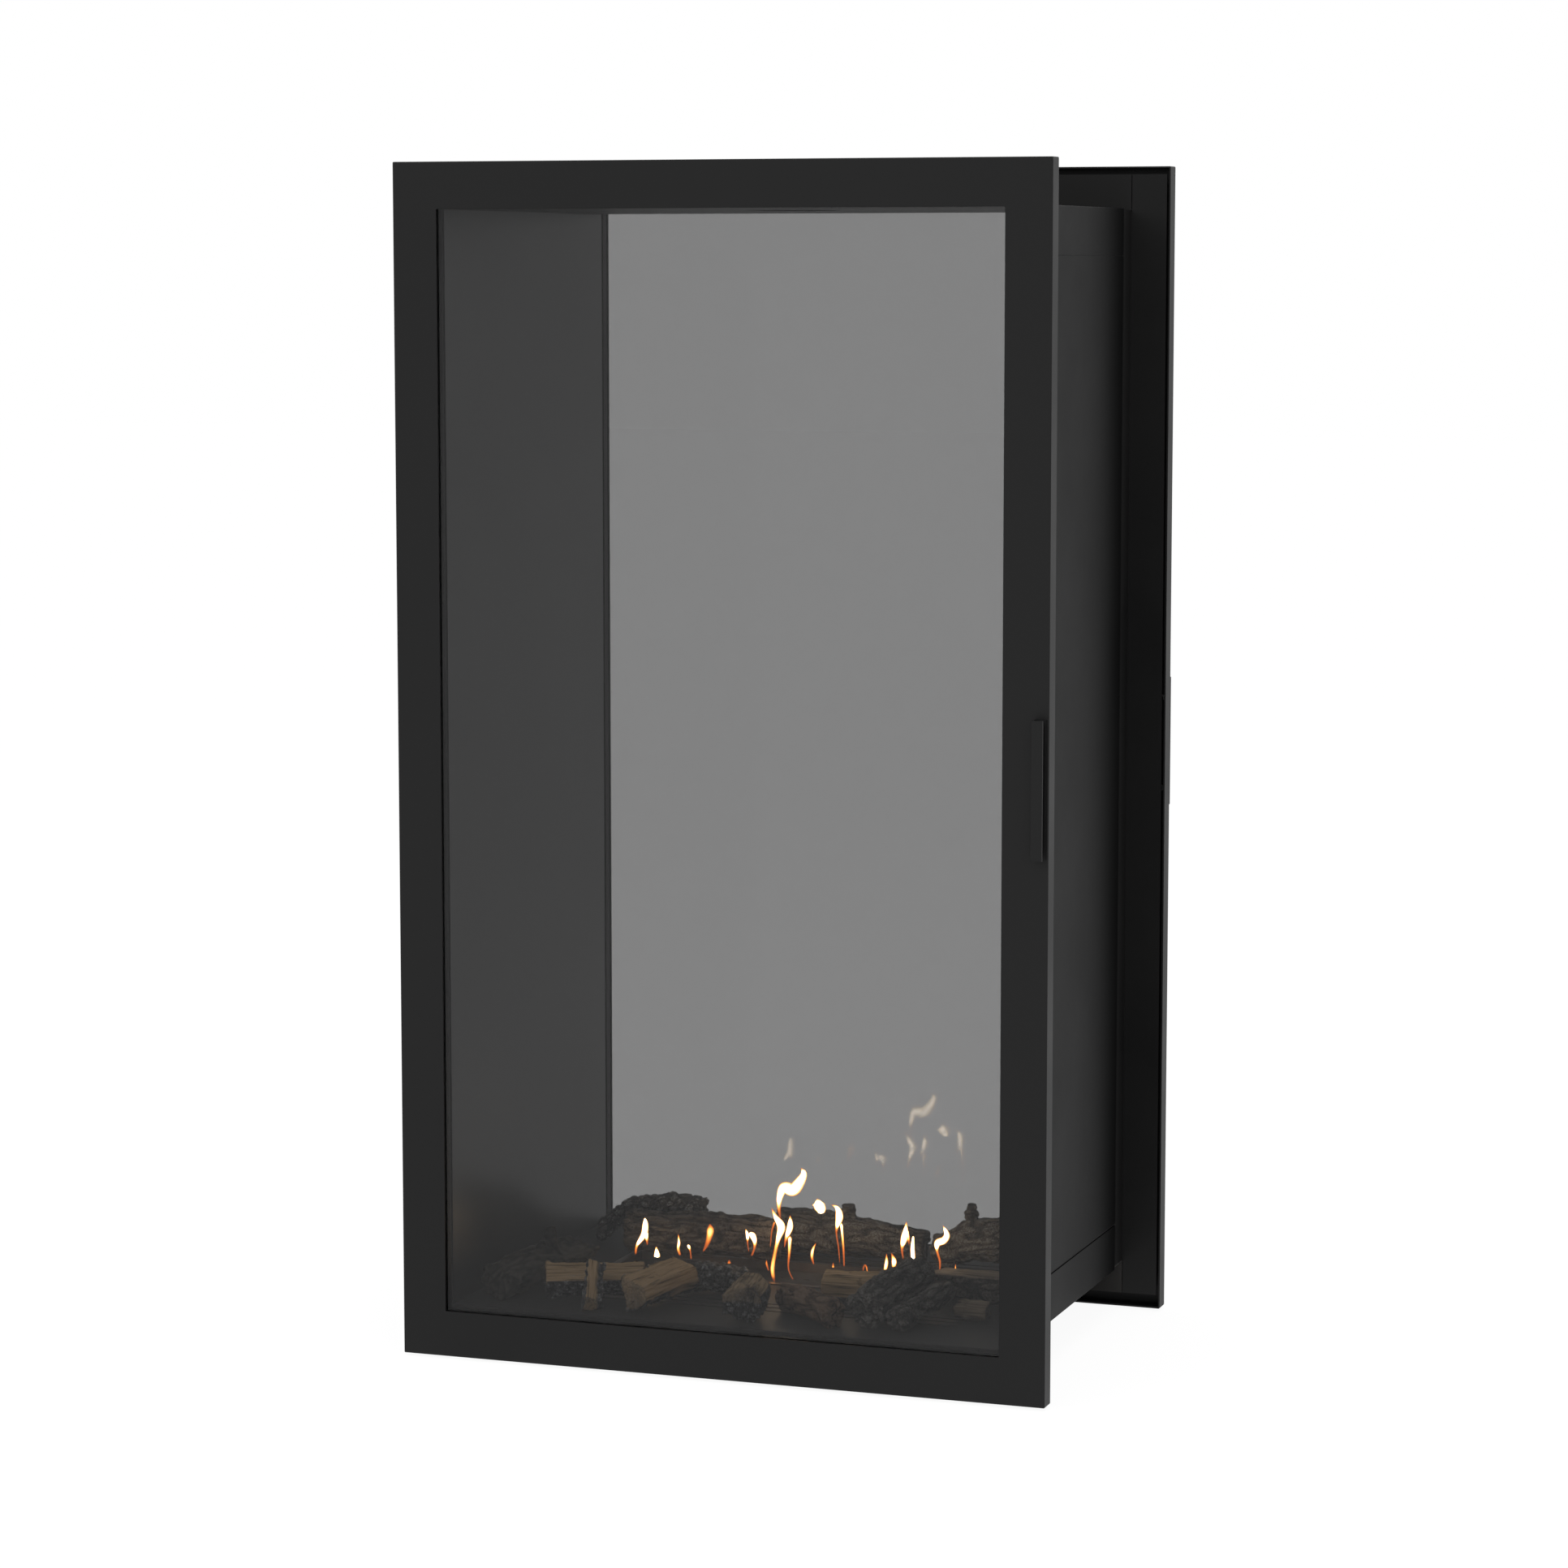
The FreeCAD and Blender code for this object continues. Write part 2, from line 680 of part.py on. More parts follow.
round_edges(floor, "bend_radius", lambda a, b: near(a.z, FLOOR) and near(abs(a.y), f"-{FLANGE}") and near(a.y - b.y, "0"))

keep(block("decor_panel_left", f"-{WEB_IN}", f"-{OPEN_X}",
           f"{BACK} + panel_clearance", f"-{BACK} - panel_clearance",
           FLOOR, f"{OPEN_TOP} - panel_clearance"))
mirrored("decor_panel_right", pieces["decor_panel_left"], ACROSS_X)


# Outer covers round the middle of the firebox

cover = new_body("top_cover")
extrude(cover, "XZ", NECK, f"-{NECK}", [
    (f"-{COVER}", f"{SHELL_TOP} - band_height"),
    (f"-{COVER}", SHELL_TOP),
    (COVER, SHELL_TOP),
    (COVER, f"{SHELL_TOP} - band_height"),
    (WEB_OUT, f"{SHELL_TOP} - band_height"),
    (WEB_OUT, WEB_TOP),
    (f"-{WEB_OUT}", WEB_TOP),
    (f"-{WEB_OUT}", f"{SHELL_TOP} - band_height")])
carve(cover, "XY", WEB_TOP, SHELL_TOP, ("0", "0", "(flue_radius - spigot_wall)"))
round_edges(cover, "bend_radius", lambda a, b: near(abs(a.x), COVER) and near(a.z, SHELL_TOP) and near(b.z, SHELL_TOP)
            and near(a.x - b.x, "0"))

tray = new_body("bottom_tray")
extrude(tray, "XZ", NECK, f"-{NECK}", [
    (f"-{COVER}", f"{SHELL_LOW} + band_height"),
    (f"-{COVER}", SHELL_LOW),
    (COVER, SHELL_LOW),
    (COVER, f"{SHELL_LOW} + band_height"),
    (WEB_OUT, f"{SHELL_LOW} + band_height"),
    (WEB_OUT, WEB_UNDER),
    (f"-{WEB_OUT}", WEB_UNDER),
    (f"-{WEB_OUT}", f"{SHELL_LOW} + band_height")])
carve(tray, "XY", SHELL_LOW, WEB_UNDER,
      centred(f"({BASE_X} - base_lip)", f"base_lip - {BASE_Y}", f"{BASE_Y} - base_lip"))
round_edges(tray, "bend_radius", lambda a, b: near(abs(a.x), COVER) and near(a.z, SHELL_LOW) and near(b.z, SHELL_LOW)
            and near(a.x - b.x, "0"))

keep(block("side_cover_left", f"-{COVER}", f"-{WEB_OUT}", NECK, f"-{NECK}",
           f"{SHELL_LOW} + band_height + groove_gap", f"{SHELL_TOP} - band_height - seam_gap"))
mirrored("side_cover_right", pieces["side_cover_left"], ACROSS_X)


# Base box under the floor, with fixing holes, air vents and the gas entry

GAS_Y = "burner_offset"
GAS_Z = "(sheet_thickness + mixer_radius + mixer_lift)"

base = new_body("base_box")
extrude(base, "XY", "0", SHELL_LOW, centred(BASE_X, f"-{BASE_Y}", BASE_Y))
carve(base, "XY", "sheet_thickness", SHELL_LOW, centred(
    f"({BASE_X} - sheet_thickness)", f"sheet_thickness - {BASE_Y}", f"{BASE_Y} - sheet_thickness"))
bolt_x = f"({BASE_X} - base_hole_inset)"
bolt_y = f"({BASE_Y} - base_hole_inset)"
bolt_holes = [(sx + bolt_x, sy + bolt_y, "base_hole_radius") for sx in "-+" for sy in "-+"]
carve(base, "XY", "0", "sheet_thickness", *bolt_holes)
carve(base, "XZ", f"-{BASE_Y}", BASE_Y,
      centred("(vent_width / 2)", "vent_sill", "vent_sill + vent_height"))
carve(base, "YZ", f"{BASE_X} - sheet_thickness", BASE_X, (GAS_Y, GAS_Z, "(inlet_shank + inlet_play)"))


# Burner: a trough hung in the floor and the ported plate that stands in it

TROUGH_LOW = f"({FLOOR} - burner_drop)"
TROUGH_BED = f"({TROUGH_LOW} + burner_sheet)"
PORT_TOP = f"({FLOOR} - port_drop)"
MIXER_LEFT = "(-mixer_length / 2)"
MIXER_RIGHT = "(mixer_length / 2)"
RISER_X = f"({MIXER_LEFT} + riser_offset)"

trough = new_body("burner_tray")
extrude(trough, "XY", TROUGH_LOW, FLOOR, centred(BURNER_X, BURNER_FRONT, BURNER_BACK))
extrude(trough, "XY", FLOOR, f"{FLOOR} + burner_sheet",
        centred(f"({BURNER_X} + burner_rim)", f"{BURNER_FRONT} - burner_rim", f"{BURNER_BACK} + burner_rim"))
carve(trough, "XY", TROUGH_BED, f"{FLOOR} + burner_sheet", centred(
    f"({BURNER_X} - burner_sheet)", f"{BURNER_FRONT} + burner_sheet", f"{BURNER_BACK} - burner_sheet"))
carve(trough, "XY", TROUGH_LOW, TROUGH_BED, (RISER_X, GAS_Y, "(riser_radius + riser_play)"))

plate_front = f"({BURNER_FRONT} + burner_sheet + burner_play)"
plate_back = f"({BURNER_BACK} - burner_sheet - burner_play)"
plate_x = f"({BURNER_X} - burner_sheet - burner_play)"
plate = new_body("burner_cover")
extrude(plate, "YZ", f"-{plate_x}", plate_x, [
    (plate_front, TROUGH_BED),
    (plate_front, PORT_TOP),
    (plate_back, PORT_TOP),
    (plate_back, TROUGH_BED),
    (f"{plate_back} - burner_sheet", TROUGH_BED),
    (f"{plate_back} - burner_sheet", f"{PORT_TOP} - burner_sheet"),
    (f"{plate_front} + burner_sheet", f"{PORT_TOP} - burner_sheet"),
    (f"{plate_front} + burner_sheet", TROUGH_BED)])
port_count = int(number("burner_length / port_pitch")) - 2
first_port = f"(-{port_count - 1} * port_pitch / 2)"
port_pair = []
for side in "-+":
    row = f"(burner_offset {side} port_row / 2)"
    port_pair.append(rectangle(f"{first_port} - port_length / 2", f"{first_port} + port_length / 2",
                               f"{row} - port_width / 2", f"{row} + port_width / 2"))
carve(plate, "XY", f"{PORT_TOP} - burner_sheet", PORT_TOP, *port_pair)
repeat_along_x(plate, port_count, f"{port_count - 1} * port_pitch")


# Gas train: inlet through the base wall, injector, mixing tube and riser

mixer_body = fuse("mixer_body", [
    rod("mixer_outside", "X", (GAS_Y, GAS_Z), MIXER_LEFT, MIXER_RIGHT, "mixer_radius"),
    rod("riser_outside", "Z", (RISER_X, GAS_Y), GAS_Z, f"{TROUGH_BED} + riser_rise", "riser_radius"),
    rod("riser_collar", "Z", (RISER_X, GAS_Y), f"{TROUGH_LOW} - collar_height", TROUGH_LOW, "collar_radius")])
mixer_hollow = fuse("mixer_hollow", [
    rod("mixer_inside", "X", (GAS_Y, GAS_Z), f"{MIXER_LEFT} + mixer_wall", MIXER_RIGHT, "mixer_radius - mixer_wall"),
    rod("riser_inside", "Z", (RISER_X, GAS_Y), GAS_Z, f"{TROUGH_BED} + riser_rise", "riser_radius - mixer_wall")])
keep(less("mixer_tube", mixer_body, mixer_hollow))

INJECTOR_LEFT = f"({MIXER_RIGHT} - injector_overlap)"
INJECTOR_RIGHT = f"({INJECTOR_LEFT} + injector_length)"
keep(less("gas_injector",
          rod("injector_outside", "X", (GAS_Y, GAS_Z), INJECTOR_LEFT, INJECTOR_RIGHT, "injector_radius"),
          rod("injector_jet", "X", (GAS_Y, GAS_Z), INJECTOR_LEFT, INJECTOR_RIGHT, "injector_bore")))

INLET_END = f"({BASE_X} + inlet_flange + inlet_socket)"
inlet_body = fuse("inlet_body", [
    rod("inlet_pipe", "X", (GAS_Y, GAS_Z), INJECTOR_RIGHT, BASE_X, "pipe_radius"),
    rod("inlet_neck", "X", (GAS_Y, GAS_Z), f"{BASE_X} - 2 * sheet_thickness", BASE_X, "inlet_shank"),
    rod("inlet_stop", "X", (GAS_Y, GAS_Z), BASE_X, f"{BASE_X} + inlet_flange", "inlet_flange_radius"),
    rod("inlet_barrel", "X", (GAS_Y, GAS_Z), BASE_X, INLET_END, "inlet_socket_radius")])
inlet_hollow = fuse("inlet_hollow", [
    rod("inlet_way", "X", (GAS_Y, GAS_Z), INJECTOR_RIGHT, INLET_END, "pipe_bore"),
    rod("inlet_thread_bore", "X", (GAS_Y, GAS_Z), f"{INLET_END} - inlet_thread", INLET_END, "inlet_bore")])
keep(less("gas_inlet", inlet_body, inlet_hollow))


# Pilot: bracket on the floor with the pilot burner, electrode and thermocouple behind it

bracket_left = "(pilot_x - bracket_length / 2)"
bracket_right = "(pilot_x + bracket_length / 2)"
bracket_y = f"({PILOT_Y} - pilot_radius - pilot_play)"
keep(fuse("pilot_bracket", [
    block("bracket_foot_plate", bracket_left, bracket_right,
          f"{bracket_y} - bracket_foot", bracket_y, FLOOR, f"{FLOOR} + bracket_sheet"),
    block("bracket_upright", bracket_left, bracket_right,
          f"{bracket_y} - bracket_sheet", bracket_y, FLOOR, f"{FLOOR} + bracket_height")]))
keep(rod("pilot_burner", "Z", ("pilot_x", PILOT_Y), f"{FLOOR} - pilot_tail", f"{FLOOR} + pilot_height", "pilot_radius"))
electrode_x = "(pilot_x - probe_pitch)"
electrode_y = f"({bracket_y} + electrode_radius + pilot_play)"
keep(fuse("ignition_electrode", [
    rod("electrode_sleeve", "Z", (electrode_x, electrode_y), FLOOR, f"{FLOOR} + electrode_height", "electrode_radius"),
    rod("electrode_point", "Z", (electrode_x, electrode_y), FLOOR,
        f"{FLOOR} + electrode_height + electrode_tip", "electrode_wire")]))
keep(rod("thermocouple", "Z", ("(pilot_x + probe_pitch)", f"({bracket_y} + couple_radius + pilot_play)"),
         FLOOR, f"{FLOOR} + couple_height", "couple_radius"))


# Flue: spigot on the top cover and the restrictor ring under it

spigot = new_body("flue_spigot")
extrude(spigot, "XY", SHELL_TOP, f"{SHELL_TOP} + spigot_wall", ("0", "0", "(flue_radius + spigot_flange)"))
extrude(spigot, "XY", SHELL_TOP, f"{SHELL_TOP} + spigot_height", ("0", "0", "flue_radius"))
carve(spigot, "XY", SHELL_TOP, f"{SHELL_TOP} + spigot_height", ("0", "0", "(flue_radius - spigot_wall)"))

restrictor = new_body("flue_restrictor")
extrude(restrictor, "XY", WEB_TOP, SHELL_TOP,
        ("0", "0", "(flue_radius - spigot_wall - restrictor_play)"), ("0", "0", "restrictor_hole"))


# Ceramic logs, drawn for a bed of this half length and half width and fitted to the firebox

BED_X = 345.0
BED_Y = 252.5
stretch_x = number(f"{OPEN_X} - log_margin_side") / BED_X
stretch_y = number(f"-{BACK} - log_margin_front + 2") / BED_Y

ROUND = [(math.cos(math.radians(45 * i + 22.5)), math.sin(math.radians(45 * i + 22.5))) for i in range(8)]
HALF = [(-1, 0.45), (1, 0.5), (0.9, -0.2), (0.45, -0.85), (-0.45, -0.85), (-0.95, -0.2)]
QUARTER = [(0, 1), (0.95, -0.1), (0.6, -0.75), (0, -0.95), (-0.95, -0.7)]


class Log:
    """One log: its section swept from start to end, with a roll, a bend near its start and a taper."""

    def __init__(self, outline, start, end, width, height, roll=0, bend=0, taper=1, stub=None, on_rim=False):
        self.outline = outline
        self.start = FreeCAD.Vector(*start)
        self.end = FreeCAD.Vector(*end)
        self.width = width
        self.height = height
        self.roll = math.radians(roll)
        self.bend = bend
        self.taper = taper
        self.stub = stub
        self.on_rim = on_rim


LOGS = {
    "left_wall": Log(HALF, (-318, -224, 24), (-292, -15, 26), 54, 48, roll=-15, bend=3, stub=(-303, -95, 30, 7, 36)),
    "left_split": Log(HALF, (-268, -190, 22), (-150, -146, 24), 44, 46, roll=-20),
    "left_cross": Log(QUARTER, (-184, -245, 17), (-204, -187, 53), 34, 26, roll=20),
    "front_split": Log(QUARTER, (-131, -242, 25), (-105, -124, 28), 50, 48, roll=35),
    "charred": Log(ROUND, (-92, -116, 22), (-38, -72, 20), 44, 42, bend=3, taper=0.75),
    "front_chunk": Log(ROUND, (16, -236, 24), (10, -180, 34), 58, 50, taper=0.85),
    "front_red": Log(ROUND, (48, -160, 19), (134, -224, 18), 36, 37, bend=2),
    "block": Log(HALF, (72, -84, 18), (156, -80, 18), 42, 38, roll=80),
    "big_bark": Log(ROUND, (172, -216, 28), (194, -78, 42), 54, 52, bend=2),
    "small_bark": Log(ROUND, (214, -224, 14), (244, -104, 32), 27, 28),
    "right_log": Log(HALF, (206, -28, 26), (330, -40, 26), 48, 52, on_rim=True),
    "right_wedge": Log(QUARTER, (264, -126, 12), (306, -130, 12), 32, 26, roll=20),
    "arch": Log(ROUND, (-324, 140, 14), (-176, 140, 58), 32, 30, bend=23),
    "back_main": Log(ROUND, (-262, 93, 29), (-54, 93, 31), 58, 58, on_rim=True),
    "back_knob": Log(ROUND, (-74, 154, 31), (132, 154, 22), 54, 64, bend=3, taper=0.72, stub=(25, 154, 30, 11.5, 41)),
    "back_right": Log(ROUND, (154, 130, 20), (304, 130, 46), 36, 46, bend=10, taper=1.55,
                      stub=(203, 130, 56, 7.5, 31)),
}


def log_ring(log, index, share):
    """Outline of a log at a share of its length; each corner wavers a little, as bark does."""
    along = log.end - log.start
    side = along.cross(UP).normalize()
    up = side.cross(along).normalize()
    centre = log.start + along * share + up * (log.bend * math.sin(math.pi * share ** 0.7))
    size = 1 + (log.taper - 1) * share
    points = []
    for i, (u, v) in enumerate(log.outline):
        waver = size * (1 + 0.07 * math.sin(2.3 * i + 5 * share + index))
        across = waver * (u * math.cos(log.roll) - v * math.sin(log.roll)) * log.width / 2
        height = waver * (u * math.sin(log.roll) + v * math.cos(log.roll)) * log.height / 2
        point = centre + side * across + up * height
        points.append(FreeCAD.Vector(point.x * stretch_x, point.y * stretch_y, point.z))
    return Part.makePolygon(points + points[:1])


def log_solid(log, index):
    """Loft through four outlines, set down on the floor or the burner's rim, with any branch stub."""
    solid = Part.makeLoft([log_ring(log, index, share) for share in (0, 0.33, 0.67, 1)], True, True)
    if log.stub:
        x, y, z, radius, length = log.stub
        foot = FreeCAD.Vector(x * stretch_x, y * stretch_y, z)
        solid = solid.fuse(Part.makeCone(radius * 1.2, radius * 0.8, length, foot, UP)).Solids[0]
    seat = number(f"{FLOOR} + burner_sheet") if log.on_rim else number(FLOOR)
    solid.translate(UP * (seat - solid.BoundBox.ZMin))
    return solid


for index, (name, log) in enumerate(LOGS.items()):
    item = doc.addObject("Part::Feature", "log_" + name)
    item.Label = "log_" + name
    item.Shape = log_solid(log, index)
    keep(item)


# Check every object and write one file per piece

doc.recompute()
for item in doc.Objects:
    if "Invalid" in item.State or "Error" in item.State:
        raise RuntimeError("%s is in state %s" % (item.Label, item.State))
    if item.TypeId == "PartDesign::Pocket" and item.Shape.Volume > item.BaseFeature.Shape.Volume - 0.1:
        raise RuntimeError("%s cuts nothing" % item.Label)

os.makedirs("parts", exist_ok=True)
for label, item in pieces.items():
    if item.Shape.isNull() or not item.Shape.isValid():
        raise RuntimeError("%s has no valid shape" % label)
    item.Shape.exportStep("parts/%s.step" % label)
print("%d pieces" % len(pieces))
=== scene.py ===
import math

import bmesh
import bpy
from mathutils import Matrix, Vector, noise


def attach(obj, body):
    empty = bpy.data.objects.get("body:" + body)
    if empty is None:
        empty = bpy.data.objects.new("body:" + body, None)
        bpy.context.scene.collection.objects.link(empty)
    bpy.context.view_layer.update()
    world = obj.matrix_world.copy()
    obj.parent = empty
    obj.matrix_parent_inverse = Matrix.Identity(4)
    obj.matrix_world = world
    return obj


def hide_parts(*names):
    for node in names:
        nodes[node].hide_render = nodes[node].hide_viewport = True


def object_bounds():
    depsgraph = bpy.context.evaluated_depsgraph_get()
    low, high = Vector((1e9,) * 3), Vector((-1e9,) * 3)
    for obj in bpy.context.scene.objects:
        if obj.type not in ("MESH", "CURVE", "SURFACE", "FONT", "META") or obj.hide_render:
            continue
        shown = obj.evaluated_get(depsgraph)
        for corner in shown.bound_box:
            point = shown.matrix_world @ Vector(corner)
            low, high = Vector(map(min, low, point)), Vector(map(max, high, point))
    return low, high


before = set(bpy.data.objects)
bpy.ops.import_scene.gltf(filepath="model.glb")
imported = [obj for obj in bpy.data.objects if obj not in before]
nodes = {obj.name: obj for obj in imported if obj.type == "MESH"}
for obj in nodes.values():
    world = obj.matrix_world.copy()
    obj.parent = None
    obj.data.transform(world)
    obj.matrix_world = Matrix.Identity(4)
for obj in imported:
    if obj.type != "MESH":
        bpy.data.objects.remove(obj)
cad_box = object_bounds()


# View: the camera stands to the right of the front door, a little below the top of the frame,
# with a long lens, so that the glass and the right-hand side of the firebox both show.

lens = bpy.data.cameras.new("view")
lens.sensor_width = 36
lens.lens = 101.903
lens.clip_end = 100
tilt_down = 6.650
turn_left = 19.407
view = bpy.data.objects.new("view", lens)
view.location = (1.8680, -5.3367, 1.3758)
view.rotation_euler = (math.radians(90 - tilt_down), 0, math.radians(turn_left))
bpy.context.scene.collection.objects.link(view)
bpy.context.scene.camera = view
bpy.context.scene.view_settings.view_transform = "Standard"


# Room: a pale floor that keeps the soft shadow of the fireplace, an even white surround,
# and two large soft lamps, one in front on the left and one over the top.

def add(tree, kind, **values):
    """New node with its settings and unlinked inputs."""
    node = tree.nodes.new(kind)
    for key, value in values.items():
        name = key.replace("_", " ").title()
        if name in node.inputs:
            node.inputs[name].default_value = value
        else:
            setattr(node, key, value)
    return node


def maths(tree, operation, *values):
    """Result of a Math node over sockets and plain numbers."""
    node = add(tree, "ShaderNodeMath", operation=operation)
    for socket, value in zip(node.inputs, values):
        if isinstance(value, float):
            socket.default_value = value
        else:
            tree.links.new(value, socket)
    return node.outputs[0]


def seen_directly(tree):
    """1 for rays from the camera, from gloss and through glass, 0 for the rest."""
    rays = add(tree, "ShaderNodeLightPath").outputs
    either = maths(tree, "MAXIMUM", rays["Is Camera Ray"], rays["Is Glossy Ray"])
    return maths(tree, "MAXIMUM", either, rays["Is Transmission Ray"])


def mix_surfaces(tree, factor, first, second, output):
    """Mix two shaders by a factor and join them to a new output node."""
    mix = add(tree, "ShaderNodeMixShader")
    for socket, source in zip(mix.inputs, (factor, first.outputs[0], second.outputs[0])):
        tree.links.new(source, socket)
    out = add(tree, output)
    tree.links.new(mix.outputs[0], out.inputs["Surface"])


room = bpy.data.worlds.new("room")
bpy.context.scene.world = room
room.use_nodes = True
tree = room.node_tree
tree.nodes.clear()
dim = add(tree, "ShaderNodeBackground", color=(1, 1, 1, 1), strength=0.62)
white = add(tree, "ShaderNodeBackground", color=(1, 1, 1, 1), strength=1.0)
mix_surfaces(tree, seen_directly(tree), dim, white, "ShaderNodeOutputWorld")

floor_finish = bpy.data.materials.new("pale_floor")
floor_finish.use_nodes = True
tree = floor_finish.node_tree
tree.nodes.clear()
paint = add(tree, "ShaderNodeBsdfDiffuse", color=(0.86, 0.86, 0.86, 1))
glow = add(tree, "ShaderNodeEmission", color=(1, 1, 1, 1), strength=1.065)
glow_share = maths(tree, "MULTIPLY", seen_directly(tree), 0.88)
mix_surfaces(tree, glow_share, paint, glow, "ShaderNodeOutputMaterial")
bm = bmesh.new()
bmesh.ops.create_grid(bm, x_segments=1, y_segments=1, size=30)
floor_mesh = bpy.data.meshes.new("room_floor")
bm.to_mesh(floor_mesh)
bm.free()
room_floor = bpy.data.objects.new("room_floor", floor_mesh)
room_floor.data.materials.append(floor_finish)
bpy.context.scene.collection.objects.link(room_floor)

lamp_target = Vector((0, 0, 0.8))
for name, place, size, power in (
        ("lamp_left", (-2.6, -3.6, 2.6), 2.4, 60),
        ("lamp_over", (0.6, -0.5, 4.2), 2.6, 55)):
    lamp_data = bpy.data.lights.new(name, "AREA")
    lamp_data.size = size
    lamp_data.energy = power
    lamp = bpy.data.objects.new(name, lamp_data)
    lamp.location = place
    aim = lamp_target - Vector(place)
    lamp.rotation_euler = aim.to_track_quat("-Z", "Y").to_euler()
    lamp.visible_glossy = False
    bpy.context.scene.collection.objects.link(lamp)


# Firebox: liners and base box of folded steel sheet in matt black paint baked by the fire, a paler
# floor, and plain dark grey panels on the two side walls. All the paint is sprayed, so its film
# has a fine orange peel and a slightly uneven sheen.

def new_finish(name):
    """Material with a Principled shader; gives the material, its tree and the shader."""
    finish = bpy.data.materials.new(name)
    finish.use_nodes = True
    shader = next(n for n in finish.node_tree.nodes if n.type == "BSDF_PRINCIPLED")
    return finish, finish.node_tree, shader


def paint_group():
    """Sprayed film: a height for the orange peel and a slow mottle from 0 to 1."""
    group = bpy.data.node_groups.new("sprayed_film", "ShaderNodeTree")
    group.interface.new_socket("Peel Scale", in_out="INPUT", socket_type="NodeSocketFloat")
    group.interface.new_socket("Mottle Scale", in_out="INPUT", socket_type="NodeSocketFloat")
    group.interface.new_socket("Peel", in_out="OUTPUT", socket_type="NodeSocketFloat")
    group.interface.new_socket("Mottle", in_out="OUTPUT", socket_type="NodeSocketFloat")
    entry = add(group, "NodeGroupInput")
    leave = add(group, "NodeGroupOutput")
    place = add(group, "ShaderNodeTexCoord")
    peel = add(group, "ShaderNodeTexNoise", detail=2.0, roughness=0.5)
    mottle = add(group, "ShaderNodeTexNoise", detail=4.0, roughness=0.6)
    for texture, socket in ((peel, "Peel Scale"), (mottle, "Mottle Scale")):
        group.links.new(place.outputs["Object"], texture.inputs["Vector"])
        group.links.new(entry.outputs[socket], texture.inputs["Scale"])
    group.links.new(peel.outputs["Fac"], leave.inputs["Peel"])
    group.links.new(mottle.outputs["Fac"], leave.inputs["Mottle"])
    return group


sprayed_film = paint_group()


def ramp(tree, source, stops):
    """Colour ramp over a value; stops are (place, colour) pairs."""
    node = add(tree, "ShaderNodeValToRGB")
    while len(node.color_ramp.elements) < len(stops):
        node.color_ramp.elements.new(0.5)
    for element, (place, colour) in zip(node.color_ramp.elements, stops):
        element.position = place
        element.color = (*colour, 1)
    tree.links.new(source, node.inputs["Fac"])
    return node.outputs["Color"]


def remap(tree, source, start, stop, low, high):
    """A value from start to stop, spread over low to high and held there."""
    node = add(tree, "ShaderNodeMapRange")
    for name, value in (("From Min", start), ("From Max", stop), ("To Min", low), ("To Max", high)):
        node.inputs[name].default_value = value
    tree.links.new(source, node.inputs["Value"])
    return node.outputs["Result"]


def spread(tree, source, low, high):
    """A noise value, which lies mostly between 0.3 and 0.7, spread over low to high."""
    return remap(tree, source, 0.3, 0.7, low, high)


def bump(tree, shader, height, distance, strength):
    """Fine relief on a finish, from a height value."""
    node = add(tree, "ShaderNodeBump", strength=strength, distance=distance)
    tree.links.new(height, node.inputs["Height"])
    tree.links.new(node.outputs["Normal"], shader.inputs["Normal"])


def paint_finish(name, dark, light, rough, level, peel_scale, strength):
    """Sprayed paint between two tones and two values of roughness.

    Level is how strongly it mirrors, and strength how much its orange peel shows."""
    finish, tree, shader = new_finish(name)
    film = add(tree, "ShaderNodeGroup", node_tree=sprayed_film)
    film.inputs["Peel Scale"].default_value = peel_scale
    film.inputs["Mottle Scale"].default_value = 5
    tones = ramp(tree, film.outputs["Mottle"], ((0.3, dark), (0.7, light)))
    tree.links.new(tones, shader.inputs["Base Color"])
    tree.links.new(spread(tree, film.outputs["Mottle"], *rough), shader.inputs["Roughness"])
    shader.inputs["Specular IOR Level"].default_value = level
    bump(tree, shader, film.outputs["Peel"], distance=0.0004, strength=strength)
    return finish


def dress(finish, *names):
    """Put a finish on CAD nodes."""
    for name in names:
        nodes[name].data.materials.clear()
        nodes[name].data.materials.append(finish)


matt_black = paint_finish("matt_black_paint", (0.005, 0.005, 0.0051), (0.008, 0.0079, 0.0078),
                          rough=(0.5, 0.6), level=0.24, peel_scale=500, strength=0.08)
dress(matt_black, "liner_left", "liner_right", "liner_top", "base_box")
floor_black = paint_finish("hearth_floor_paint", (0.032, 0.031, 0.03), (0.058, 0.056, 0.054),
                           rough=(0.5, 0.6), level=0.1, peel_scale=400, strength=0.08)
dress(floor_black, "hearth_floor")
panel_grey = paint_finish("side_panel_grey", (0.02, 0.02, 0.02), (0.026, 0.026, 0.026),
                          rough=(0.28, 0.34), level=0.55, peel_scale=900, strength=0.03)
dress(panel_grey, "decor_panel_left", "decor_panel_right")


# Outer covers: the top cover, the two side covers and the bottom tray, of steel sheet, fitted round
# the firebox. Their sprayed paint is the darkest on the fireplace and mirrors little of the room.

cover_black = paint_finish("cover_black_paint", (0.0028, 0.0028, 0.0029), (0.0038, 0.0038, 0.0039),
                           rough=(0.42, 0.48), level=0.044, peel_scale=600, strength=0.1)
dress(cover_black, "top_cover", "bottom_tray", "side_cover_left", "side_cover_right")


# Flue: the spigot on top of the firebox and the restrictor ring inside it, of galvanised steel
# whose zinc has set in flat crystals.

def textured(tree, kind, place, output="Fac", **values):
    """Output of a texture or mapping node over the given coordinates."""
    node = add(tree, kind, **values)
    tree.links.new(place, node.inputs["Vector"])
    return node.outputs[output]


